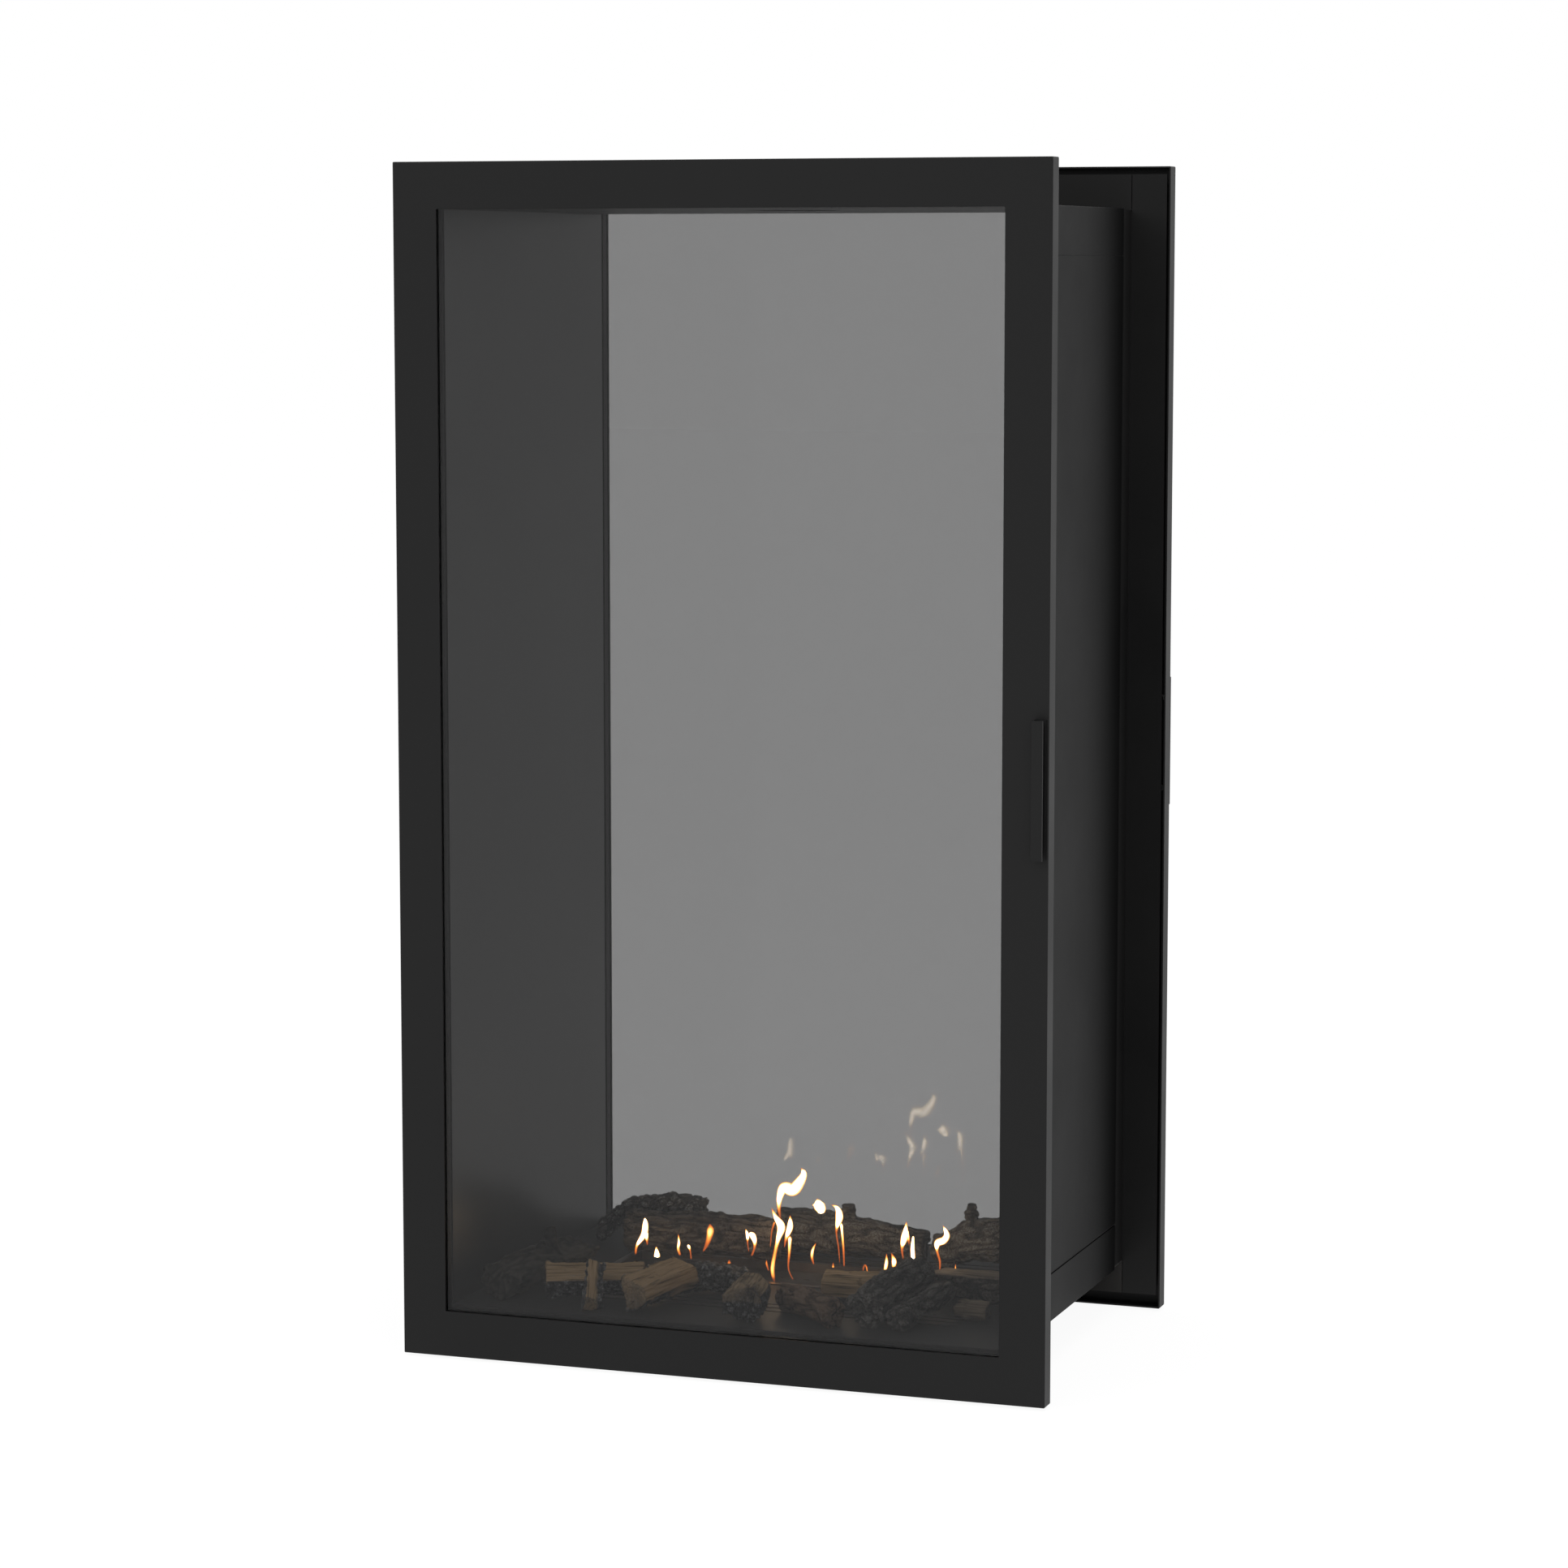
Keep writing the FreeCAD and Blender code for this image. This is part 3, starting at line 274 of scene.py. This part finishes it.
def metal_finish(name, stops, rough, cell):
    """Metal with patches of slightly different tone and sheen, cell patches to the metre."""
    finish, tree, shader = new_finish(name)
    place = add(tree, "ShaderNodeTexCoord").outputs["Object"]
    patches = textured(tree, "ShaderNodeTexVoronoi", place, "Distance", feature="SMOOTH_F1", scale=cell)
    cloud = textured(tree, "ShaderNodeTexNoise", place, scale=cell * 0.6, detail=4.0)
    patch_weight = 0.4
    tones = maths(tree, "MULTIPLY_ADD", patches, patch_weight, cloud)
    tree.links.new(ramp(tree, tones, stops), shader.inputs["Base Color"])
    tree.links.new(spread(tree, cloud, *rough), shader.inputs["Roughness"])
    shader.inputs["Metallic"].default_value = 1.0
    bump(tree, shader, cloud, distance=0.0003, strength=0.15)
    return finish


galvanised_tones = ((0.35, (0.36, 0.37, 0.38)), (0.9, (0.58, 0.59, 0.6)))
galvanised = metal_finish("galvanised_steel", galvanised_tones, rough=(0.3, 0.5), cell=90)
dress(galvanised, "flue_spigot", "flue_restrictor")


# Burner and pilot: a trough under a ported plate, its mixing tube and the pilot set, of plain steel
# stained brown by heat, with machined brass gas fittings and a white ceramic electrode.

stained_tones = ((0.3, (0.05, 0.045, 0.05)), (0.55, (0.16, 0.13, 0.11)), (0.85, (0.24, 0.22, 0.2)))
stained = metal_finish("heat_stained_steel", stained_tones, rough=(0.35, 0.6), cell=40)
dress(stained, "burner_tray", "burner_cover", "mixer_tube", "pilot_bracket", "pilot_burner", "thermocouple")
brass_tones = ((0.35, (0.52, 0.36, 0.12)), (0.9, (0.68, 0.5, 0.2)))
brass = metal_finish("machined_brass", brass_tones, rough=(0.22, 0.36), cell=120)
dress(brass, "gas_injector", "gas_inlet")
electrode_white = paint_finish("electrode_white", (0.62, 0.6, 0.54), (0.74, 0.72, 0.68),
                               rough=(0.3, 0.4), level=0.5, peel_scale=900, strength=0.1)
dress(electrode_white, "ignition_electrode")


# Logs: cast refractory ceramic, moulded from real firewood, painted by hand and laid on the hearth.
# Bark stands in long plates along the log, split faces show fibres, and burnt wood is cracked into
# small blocks.

def log_frame(start, end):
    """Unit vectors along a log, to its right and up."""
    along = (end - start).normalized()
    side = along.cross(Vector((0, 0, 1))).normalized()
    return along, side, side.cross(along)


def stretched(p, along, across):
    """A place on a log counted in noise cells, so many to the metre along it and across it."""
    return Vector((p.x * along, p.y * across, p.z * across))


def grit(q):
    """Fine noise from 0 to 1."""
    return 0.5 + 0.5 * noise.noise(q)


def bark_height(p):
    """Long plates with cracks between them, 0 in a crack and about 1 on a plate."""
    q = stretched(p, 32, 115)
    plates = min(1.0, 3.2 * abs(noise.noise(q)))
    return 0.7 * plates + 0.3 * grit(q * 3.3)


def char_height(p):
    """Small burnt blocks with cracks between them."""
    q = stretched(p, 80, 125)
    near = noise.voronoi(q)[0]
    blocks = min(1.0, 2.6 * (near[1] - near[0]))
    return 0.75 * blocks + 0.25 * grit(q * 2.9)


def fibre_height(p):
    """Torn fibres along a split face."""
    thin = noise.noise(stretched(p, 10, 260))
    thick = noise.noise(stretched(p, 28, 60))
    return 0.5 + 0.3 * thin + 0.35 * thick


def add_twig(bm, start, end, radius):
    """Blunt broken end, as a short cone between two points in millimetres."""
    start, end = Vector(start) / 1000, Vector(end) / 1000
    turn = (end - start).to_track_quat("Z", "Y").to_matrix().to_4x4()
    turn.translation = (start + end) / 2
    foot, tip = radius / 1000, radius / 1250
    bmesh.ops.create_cone(bm, cap_ends=True, segments=12, radius1=foot, radius2=tip,
                          depth=(end - start).length, matrix=turn)


def dense_copy(name, twigs):
    """Copy of a CAD log with its broken twigs joined on, remeshed finely enough to carve."""
    bm = bmesh.new()
    bm.from_mesh(nodes[name].data)
    bmesh.ops.remove_doubles(bm, verts=bm.verts, dist=1e-5)
    for twig in twigs:
        add_twig(bm, *twig)
    plain = bpy.data.meshes.new(name)
    bm.to_mesh(plain)
    bm.free()
    log = bpy.data.objects.new(name + "_carved", plain)
    bpy.context.scene.collection.objects.link(log)
    fine = log.modifiers.new("fine", "REMESH")
    fine.mode = "VOXEL"
    fine.voxel_size = 0.0015
    ready = log.evaluated_get(bpy.context.evaluated_depsgraph_get())
    dense = bpy.data.meshes.new_from_object(ready)
    log.modifiers.clear()
    log.data = dense
    return log


def clip(value):
    """A value held between 0 and 1."""
    return min(1.0, max(0.0, value))


hearth_height = 0.066

# Each surface's height, the depth of its cracks and the size of the log's slow lumps, in metres.
surfaces = {
    "bark": (bark_height, 0.0042, 0.0034),
    "char": (char_height, 0.0046, 0.0056),
}

# A face is split wood from this cosine between its normal and a split way, fading in over the next.
# A face that looks along the log more squarely than the third is an end, and counts as the fourth.
split_from = 0.62
split_fade = 0.14
square_to_log = 0.75
end_facing = 0.7

# Split wood ends in ragged edges this wide in metres, over the scorch and at its reach.
scorch_edge = 0.004
reach_edge = 0.003
patches_per_metre = 45

# A surface of this height stays where the solid is. Split wood loses these shares of its relief.
kept_height = 0.6
smoother_fibres = 0.65
smoother_lumps = 0.75


def carve_log(log, start, end, surface, split, scorch, reach, seed):
    """Cut lumps, bark or burnt blocks and split faces into a dense log.

    Split faces are those that look the given ways, and the log's ends. They are bare down to the
    scorch height over the hearth and as far as reach to the log's right, both in millimetres."""
    start, end = Vector(start) / 1000, Vector(end) / 1000
    along, side, up = log_frame(start, end)
    ways = [Vector(way).normalized() for way in split]
    bare_floor = cad_box[0][2] + hearth_height + scorch / 1000
    bm = bmesh.new()
    bm.from_mesh(log.data)
    for _ in range(2):
        bmesh.ops.smooth_vert(bm, verts=bm.verts, factor=0.5,
                              use_axis_x=True, use_axis_y=True, use_axis_z=True)
    bm.normal_update()
    grain = bm.verts.layers.float_vector.new("grain")
    bare = bm.verts.layers.float.new("bare")
    crest = bm.verts.layers.float.new("crest")
    rough_height, depth, swell = surfaces[surface]
    lumps = ((swell, 26), (0.0024, 70), (0.0012, 170))
    for vert in bm.verts:
        offset = vert.co - start
        aside = offset.dot(side)
        p = Vector((offset.dot(along), aside, offset.dot(up))) + Vector((seed, seed, seed))
        facing = max((vert.normal.dot(way) for way in ways), default=-1.0)
        if split and abs(vert.normal.dot(along)) > square_to_log:
            facing = end_facing
        patch = noise.noise(p * patches_per_metre)
        open_wood = clip((facing - split_from) / split_fade + 0.5 * patch)
        if split:
            open_wood *= clip((vert.co.z - bare_floor) / scorch_edge + patch)
            open_wood *= clip((reach / 1000 - aside) / reach_edge + patch)
        height = rough_height(p) * (1 - open_wood) + fibre_height(p) * open_wood
        vert[grain] = p
        vert[bare] = open_wood
        vert[crest] = height
        lump = sum(size * noise.noise(p * count) for size, count in lumps)
        relief = depth * (1 - smoother_fibres * open_wood) * (height - kept_height)
        vert.co += vert.normal * (relief + lump * (1 - smoother_lumps * open_wood))
    bm.to_mesh(log.data)
    bm.free()
    log.data.shade_smooth()


def shade(colour, share):
    """A colour made darker or lighter by a share."""
    return tuple(share * part for part in colour)


def blend(tree, factor, first, second):
    """Colour between two; the second is a socket or a plain colour."""
    node = add(tree, "ShaderNodeMix", data_type="RGBA")
    first_colour, second_colour = node.inputs[6], node.inputs[7]
    tree.links.new(factor, node.inputs[0])
    tree.links.new(first, first_colour)
    if isinstance(second, tuple):
        second_colour.default_value = (*second, 1)
    else:
        tree.links.new(second, second_colour)
    return node.outputs[2]


soot_black = (0.009, 0.0085, 0.0085)
fleck_grey = (0.4, 0.405, 0.415)


def log_finish(name, bark, bark_pale_and_highlight, wood, wood_light, char, fleck=0.0):
    """Painted ceramic: bark tones on the plates, with painted shade in the cracks and a painted
    highlight on the highest plates, and wood tones on the split faces.

    More char widens the patches of soot, and fleck is the weight of pale grey flecks on the highest
    edges."""
    finish, tree, shader = new_finish(name)
    place = add(tree, "ShaderNodeAttribute", attribute_name="grain").outputs["Vector"]
    bare = add(tree, "ShaderNodeAttribute", attribute_name="bare").outputs["Fac"]
    crest = add(tree, "ShaderNodeAttribute", attribute_name="crest").outputs["Fac"]
    lengthwise = textured(tree, "ShaderNodeMapping", place, "Vector", scale=(18, 320, 320))
    fibre = textured(tree, "ShaderNodeTexNoise", lengthwise, scale=1.0, detail=5.0, roughness=0.6)
    soot = textured(tree, "ShaderNodeTexNoise", place, scale=38.0, detail=5.0, roughness=0.65)
    speck = textured(tree, "ShaderNodeTexNoise", place, scale=600.0, detail=2.0)
    crest_weight = 0.52
    speck_weight = 0.62
    plates = maths(tree, "MULTIPLY_ADD", crest, crest_weight, spread(tree, speck, 0.0, speck_weight))
    # Bark tone from the plates' height and a fine speck: painted shade in the cracks, painted highlight on
    # the highest plates.
    bark_tone_and_painted_light = ramp(tree, plates, ((0.3, shade(bark, 0.22)), (0.6, bark), (0.9, bark_pale_and_highlight)))
    wood_colour = ramp(tree, fibre, ((0.34, shade(wood, 0.4)), (0.47, wood), (0.68, wood_light)))
    colour = blend(tree, bare, bark_tone_and_painted_light, wood_colour)
    soot_from = 0.66 - char * 0.5
    soot_full = 0.78 - char * 0.5
    soot_weight = 0.85
    colour = blend(tree, remap(tree, soot, soot_from, soot_full, 0.0, soot_weight), colour, soot_black)
    # Pale grey flecks where both the crest and the fine speck are high, on the highest edges.
    if fleck:
        peak = maths(tree, "MULTIPLY", crest, speck)
        colour = blend(tree, remap(tree, peak, 0.44, 0.53, 0.0, fleck), colour, fleck_grey)
    tree.links.new(colour, shader.inputs["Base Color"])
    tree.links.new(spread(tree, speck, 0.7, 0.95), shader.inputs["Roughness"])
    shader.inputs["Specular IOR Level"].default_value = 0.2
    bump(tree, shader, maths(tree, "ADD", fibre, speck), distance=0.0012, strength=0.5)
    return finish


dark_log = log_finish("dark_bark_log", (0.08, 0.073, 0.065), (0.18, 0.163, 0.146),
                      (0.2, 0.15, 0.1), (0.28, 0.21, 0.14), char=0.2, fleck=0.25)
# The log against the left wall gets the dark bark at about half its tone, a painted shade.
shaded_log = log_finish("shaded_bark_log", (0.035, 0.032, 0.026), (0.085, 0.077, 0.064),
                        (0.1, 0.085, 0.06), (0.16, 0.135, 0.1), char=0.2)
brown_log = log_finish("brown_bark_log", (0.09, 0.075, 0.061), (0.2, 0.169, 0.142),
                       (0.2, 0.155, 0.11), (0.3, 0.235, 0.17), char=0.17)
red_log = log_finish("red_bark_log", (0.125, 0.082, 0.055), (0.24, 0.165, 0.118),
                     (0.2, 0.12, 0.06), (0.28, 0.18, 0.1), char=0.14)
split_log = log_finish("split_wood_log", (0.06, 0.059, 0.06), (0.15, 0.15, 0.155),
                       (0.42, 0.285, 0.15), (0.6, 0.42, 0.25), char=0.14, fleck=0.6)
scorched_log = log_finish("scorched_wood_log", (0.06, 0.059, 0.06), (0.15, 0.15, 0.155),
                          (0.3, 0.215, 0.13), (0.44, 0.325, 0.21), char=0.24, fleck=0.4)
burnt_log = log_finish("burnt_log", (0.1, 0.094, 0.088), (0.23, 0.22, 0.212),
                       (0.1, 0.08, 0.065), (0.16, 0.13, 0.11), char=0.17, fleck=0.6)

# Ways that split faces look.
top = (0, -0.3, 0.95)
sloping_top = (0.1, -0.5, 0.85)
front = (0.1, -1, 0.15)
right = (0.75, -0.65, 0.1)

# Twigs broken off short, each with its two ends and its radius in millimetres.
broken_twigs = {
    "log_arch": (((-205, 140, 128), (-170, 140, 130), 10), ((-205, 140, 116), (-180, 140, 112), 10)),
    "log_left_wall": (((-294, -95, 99), (-300, -95, 135), 7.5), ((-315, -105, 100), (-308, -105, 118), 5.5)),
}

# How far a split face is bare to the log's right in millimetres, where that isn't the whole log.
whole_log = 99
bare_reach = {"log_left_cross": 9}

# Each log's middle line in millimetres, then its surface, split faces, scorch height and finish.
for name, start, end, surface, split, scorch, finish, slot in (
        ("log_left_wall", (-318, -224, 90), (-292, -15, 92),
         "bark", (), 0, shaded_log, "log_dark"),
        ("log_left_split", (-268, -190, 88), (-150, -146, 90),
         "char", (top,), 18, split_log, "log_light"),
        ("log_left_cross", (-184, -245, 83), (-204, -187, 119),
         "char", (sloping_top,), 0, split_log, "log_light"),
        ("log_front_split", (-131, -242, 91), (-105, -124, 94),
         "char", (top, front, right), 4, split_log, "log_light"),
        ("log_charred", (-92, -116, 88), (-38, -72, 86),
         "char", (), 0, burnt_log, "log_charred"),
        ("log_front_chunk", (16, -236, 90), (10, -180, 100),
         "char", (front, top), 24, scorched_log, "log_light"),
        ("log_front_red", (48, -160, 85), (134, -224, 84),
         "bark", (), 0, red_log, "log_red"),
        ("log_block", (72, -84, 84), (156, -80, 84),
         "bark", (front, top), 3, split_log, "log_light"),
        ("log_big_bark", (172, -216, 94), (194, -78, 108),
         "bark", (), 0, dark_log, "log_dark"),
        ("log_small_bark", (214, -224, 80), (244, -104, 98),
         "bark", (), 0, dark_log, "log_dark"),
        ("log_right_log", (206, -28, 93), (330, -40, 93),
         "bark", (top,), 0, brown_log, "log_brown"),
        ("log_right_wedge", (264, -126, 78), (306, -130, 78),
         "bark", (top, front), 5, brown_log, "log_light"),
        ("log_arch", (-324, 140, 80), (-176, 140, 124),
         "char", (), 0, burnt_log, "log_charred"),
        ("log_back_main", (-262, 93, 97), (-54, 93, 99),
         "bark", (), 0, brown_log, "log_brown"),
        ("log_back_knob", (-74, 154, 97), (132, 154, 88),
         "bark", (), 0, dark_log, "log_dark"),
        ("log_back_right", (154, 130, 86), (304, 130, 112),
         "bark", (), 0, dark_log, "log_dark")):
    log = dense_copy(name, broken_twigs.get(name, ()))
    # Shifts the noise, so that each log is carved in its own way.
    seed = 0.37 * len(name) + start[0] / 300
    carve_log(log, start, end, surface, split, scorch, bare_reach.get(name, whole_log), seed)
    log.data.materials.clear()
    log.data.materials.append(finish)
    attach(log, "firebox")
    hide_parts(name)


# Flames: thin tongues of burning gas that rise from the burner's ports between the logs. The wide
# parts burn white, the thin threads and the edges orange.

flame_finish, tree, shader = new_finish("gas_flame")
shader.inputs["Base Color"].default_value = (0, 0, 0, 1)
shader.inputs["Roughness"].default_value = 1.0
shader.inputs["Specular IOR Level"].default_value = 0.0
shader.inputs["Emission Strength"].default_value = 38.0
hue = add(tree, "ShaderNodeAttribute", attribute_name="flame_colour")
veil = add(tree, "ShaderNodeAttribute", attribute_name="flame_veil")
tree.links.new(hue.outputs["Color"], shader.inputs["Emission Color"])
tree.links.new(veil.outputs["Fac"], shader.inputs["Alpha"])

# Half the width in metres at which a flame of heat 1 burns white.
white_half_width = 0.0042
# For red, green and blue: the edge's own glow, what full heat adds to it, and how late it adds it.
flame_tones = ((0.038, 0.9, 2.3), (0.0076, 0.8, 3.0), (0.0011, 0.6, 4.4))


def along_line(points, share):
    """Point on a smooth line through the given ones."""
    place = share * (len(points) - 1)
    i = min(int(place), len(points) - 2)
    t = place - i
    before = points[max(i - 1, 0)]
    here, ahead = points[i], points[i + 1]
    after = points[min(i + 2, len(points) - 1)]
    return 0.5 * (2 * here + (ahead - before) * t + (2 * before - 5 * here + 4 * ahead - after) * t * t
                  + (3 * here - before - 3 * ahead + after) * t * t * t)


def blow_flame(bm, depth, heat, line):
    """One tongue: a sphere drawn out along its line of (x, height, width) in millimetres.

    It is half as deep as it is wide. Wide parts burn white and thin ones orange, the more so near
    the foot. More heat whitens both."""
    colour = bm.verts.layers.float_color["flame_colour"]
    cover = bm.verts.layers.float["flame_veil"]
    points = [Vector(p) / 1000 for p in line]
    step = 0.01
    tongue = bmesh.ops.create_uvsphere(bm, u_segments=16, v_segments=44, radius=1)
    for vert in tongue["verts"]:
        across, thick, rise = vert.co
        share = 0.5 + math.asin(max(-1.0, min(1.0, rise))) / math.pi
        centre = along_line(points, share)
        way = along_line(points, min(1.0, share + step)) - along_line(points, max(0.0, share - step))
        way = Vector((way.x, way.y)).normalized()
        round_off = math.hypot(across, thick)
        off, deep = (across / round_off, thick / round_off) if round_off > 1e-4 else (0.0, 0.0)
        rounded_ends = min(1.0, 12 * share, 12 * (1 - share))
        half = max(0.0, centre.z) / 2 * rounded_ends
        x = centre.x + off * half * way.y
        y = depth / 1000 + deep * half * 0.5
        z = centre.y - off * half * way.x
        vert.co = (x, y, z)
        core = 1 - off * off
        fall = 3 - 2.2 * share
        burn = min(1.0, heat * (half / white_half_width) ** fall)
        glow = burn * core
        vert[colour] = (*(edge + gain * glow ** late for edge, gain, late in flame_tones), 1)
        soft_edge = min(1.0, 1.7 * core)
        soft_foot = min(1.0, 9 * share)
        vert[cover] = soft_edge * (0.45 + 0.55 * burn) * soft_foot


bm = bmesh.new()
bm.verts.layers.float_color.new("flame_colour")
bm.verts.layers.float.new("flame_veil")
for depth, heat, line in (
        (-8, 3, ((-216, 86, 3), (-214, 99, 4), (-204, 115, 9), (-202, 129, 8), (-203, 138, 0))),
        (-6, 2, ((-200, 100, 1), (-201, 110, 5), (-202, 120, 6))),
        (0, 2, ((-189, 84, 9), (-189, 88, 8), (-190, 98, 1))),
        (0, 2.5, ((-156, 88, 3), (-159, 97, 4), (-158, 106, 4), (-159, 118, 0))),
        (0, 3, ((-141, 84, 2), (-142, 94, 2), (-144, 101, 4), (-146, 103, 2))),
        (-8, 0.4, ((-122, 97, 1), (-117, 106, 5), (-113, 117, 8), (-111, 128, 10), (-112, 136, 0))),
        (0, 1, ((-88, 83, 6), (-88, 88, 0))),
        (10, 1.5, ((-61, 92, 3), (-57, 102, 3), (-56, 112, 6), (-59, 120, 9), (-64, 123, 4))),
        (10, 3, ((-64, 97, 1), (-66, 110, 2), (-66, 120, 5), (-69, 129, 0))),
        (0, 1.2, ((-16, 143, 2), (-19, 160, 5), (-18, 176, 9), (-12, 189, 15), (0, 187, 18), (9, 197, 15),
                  (15, 209, 9), (11, 217, 2))),
        (0, 1.2, ((-25, 62, 4), (-28, 80, 6), (-24, 104, 5), (-20, 121, 7), (-16, 137, 12), (-24, 150, 6),
                  (-30, 163, 0))),
        (0, 1, ((-31, 108, 1), (-29, 129, 2), (-25, 143, 3))),
        (-8, 1.5, ((-9, 111, 1), (-6, 125, 5), (-1, 140, 9), (-1, 156, 0))),
        (-8, 1.2, ((4, 69, 1), (-3, 84, 2), (-2, 106, 4), (-1, 128, 6))),
        (0, 2, ((-33, 77, 1), (-36, 86, 3), (-36, 92, 0))),
        (10, 1, ((36, 156, 8), (35, 162, 15), (32, 168, 15), (30, 176, 0))),
        (12, 2, ((37, 162, 6), (29, 166, 8), (22, 166, 0))),
        (14, 1.5, ((60, 88, 1), (58, 112, 2), (55, 133, 3), (59, 152, 11), (56, 164, 6), (47, 168, 0))),
        (16, 2, ((65, 86, 2), (64, 111, 3), (61, 145, 4))),
        (10, 2, ((26, 87, 1), (23, 97, 4), (24, 107, 4), (29, 118, 0))),
        (10, 4, ((52, 86, 4), (52, 93, 0))),
        (0, 2, ((96, 86, 1), (97, 92, 2), (99, 95, 2), (101, 92, 2), (102, 86, 1))),
        (0, 2, ((126, 89, 5), (128, 101, 5), (128, 113, 0))),
        (10, 1.2, ((134, 92, 5), (135, 101, 7), (131, 112, 0))),
        (6, 1.5, ((149, 104, 2), (147, 119, 4), (150, 133, 10), (152, 145, 6), (153, 156, 0))),
        (8, 2, ((156, 124, 1), (155, 132, 4), (153, 143, 4))),
        (10, 3, ((161, 102, 6), (160, 120, 6), (161, 136, 2))),
        (10, 2, ((196, 86, 1), (197, 104, 3), (193, 119, 4), (194, 129, 10), (202, 133, 10), (206, 141, 8),
                 (200, 154, 0))),
        (10, 4, ((218, 88, 4), (218, 94, 3), (218, 104, 0)))):
    blow_flame(bm, depth, heat, line)
flame_mesh = bpy.data.meshes.new("flames")
bm.to_mesh(flame_mesh)
bm.free()
flame_mesh.shade_smooth()
flames = bpy.data.objects.new("flames", flame_mesh)
flames.data.materials.append(flame_finish)
bpy.context.scene.collection.objects.link(flames)
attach(flames, "firebox")


# Doors: folded steel trays with a window, vertical pulls and hinge leaves in sprayed satin black
# heat-proof paint. The frames that hold the glass from behind have the firebox's matt black.

satin_black = paint_finish("satin_black_paint", (0.005, 0.005, 0.0051), (0.0068, 0.0068, 0.0069),
                           rough=(0.5, 0.58), level=0.25, peel_scale=700, strength=0.08)
dress(satin_black, "front_door_frame", "rear_door_frame", "front_door_handle", "rear_door_handle",
      "front_hinge_leaves", "rear_hinge_leaves", "hinge_leaves_fixed")
dress(matt_black, "front_glass_retainer", "rear_glass_retainer")


# Door glass: 4 mm grey-tinted ceramic glass, so thin and flat that it hardly bends what is behind
# it. Each pane holds back about a third of the light and mirrors a little of the room.

glass_finish, tree, shader = new_finish("grey_tinted_glass")
shader.inputs["Base Color"].default_value = (0.012, 0.012, 0.0124, 1)
shader.inputs["Roughness"].default_value = 0.011
shader.inputs["Specular IOR Level"].default_value = 0.5
shader.inputs["Alpha"].default_value = 0.338
dress(glass_finish, "front_door_glass", "rear_door_glass")


# Seals: woven tape between each door frame and its glass, and knitted rope round the back of each
# door. Both are of black glass fibre, with the weave standing up.

def woven_finish(name, colour, rib_scale):
    """Fibre cloth: two crossed sets of ribs, highest where they cross and paler there by a painted
    highlight.
    """
    finish, tree, shader = new_finish(name)
    place = add(tree, "ShaderNodeTexCoord").outputs["Object"]
    ribs = [textured(tree, "ShaderNodeTexWave", place, bands_direction=axis, scale=rib_scale,
                     distortion=1.5, detail=2.0) for axis in ("X", "Z")]
    weave = maths(tree, "MULTIPLY", *ribs)
    # Paler where the weave stands highest: a painted highlight on the crossings.
    tones = ramp(tree, weave, ((0.0, colour), (0.8, shade(colour, 2.2))))
    tree.links.new(tones, shader.inputs["Base Color"])
    shader.inputs["Roughness"].default_value = 0.95
    bump(tree, shader, weave, distance=0.0006, strength=0.8)
    return finish


woven_tape = woven_finish("woven_tape", (0.03, 0.03, 0.03), rib_scale=260)
dress(woven_tape, "front_glass_gasket", "rear_glass_gasket")
knitted_rope = woven_finish("knitted_rope", (0.022, 0.022, 0.022), rib_scale=180)
dress(knitted_rope, "front_door_seal", "rear_door_seal")


# Fixings and catches: zinc-plated studs and nuts that hold the glass, the handles' screws, the pins
# that the doors turn on, and black magnetic catches on the firebox.

zinc_tones = ((0.35, (0.42, 0.42, 0.43)), (0.85, (0.6, 0.6, 0.61)))
zinc = metal_finish("zinc_plate", zinc_tones, rough=(0.28, 0.42), cell=300)
dress(zinc, "front_glass_fixings", "rear_glass_fixings", "front_handle_screws", "rear_handle_screws",
      "hinge_pins")
catch_black = paint_finish("catch_black", (0.012, 0.012, 0.012), (0.02, 0.02, 0.02),
                           rough=(0.5, 0.6), level=0.4, peel_scale=700, strength=0.12)
dress(catch_black, "catch_magnets")
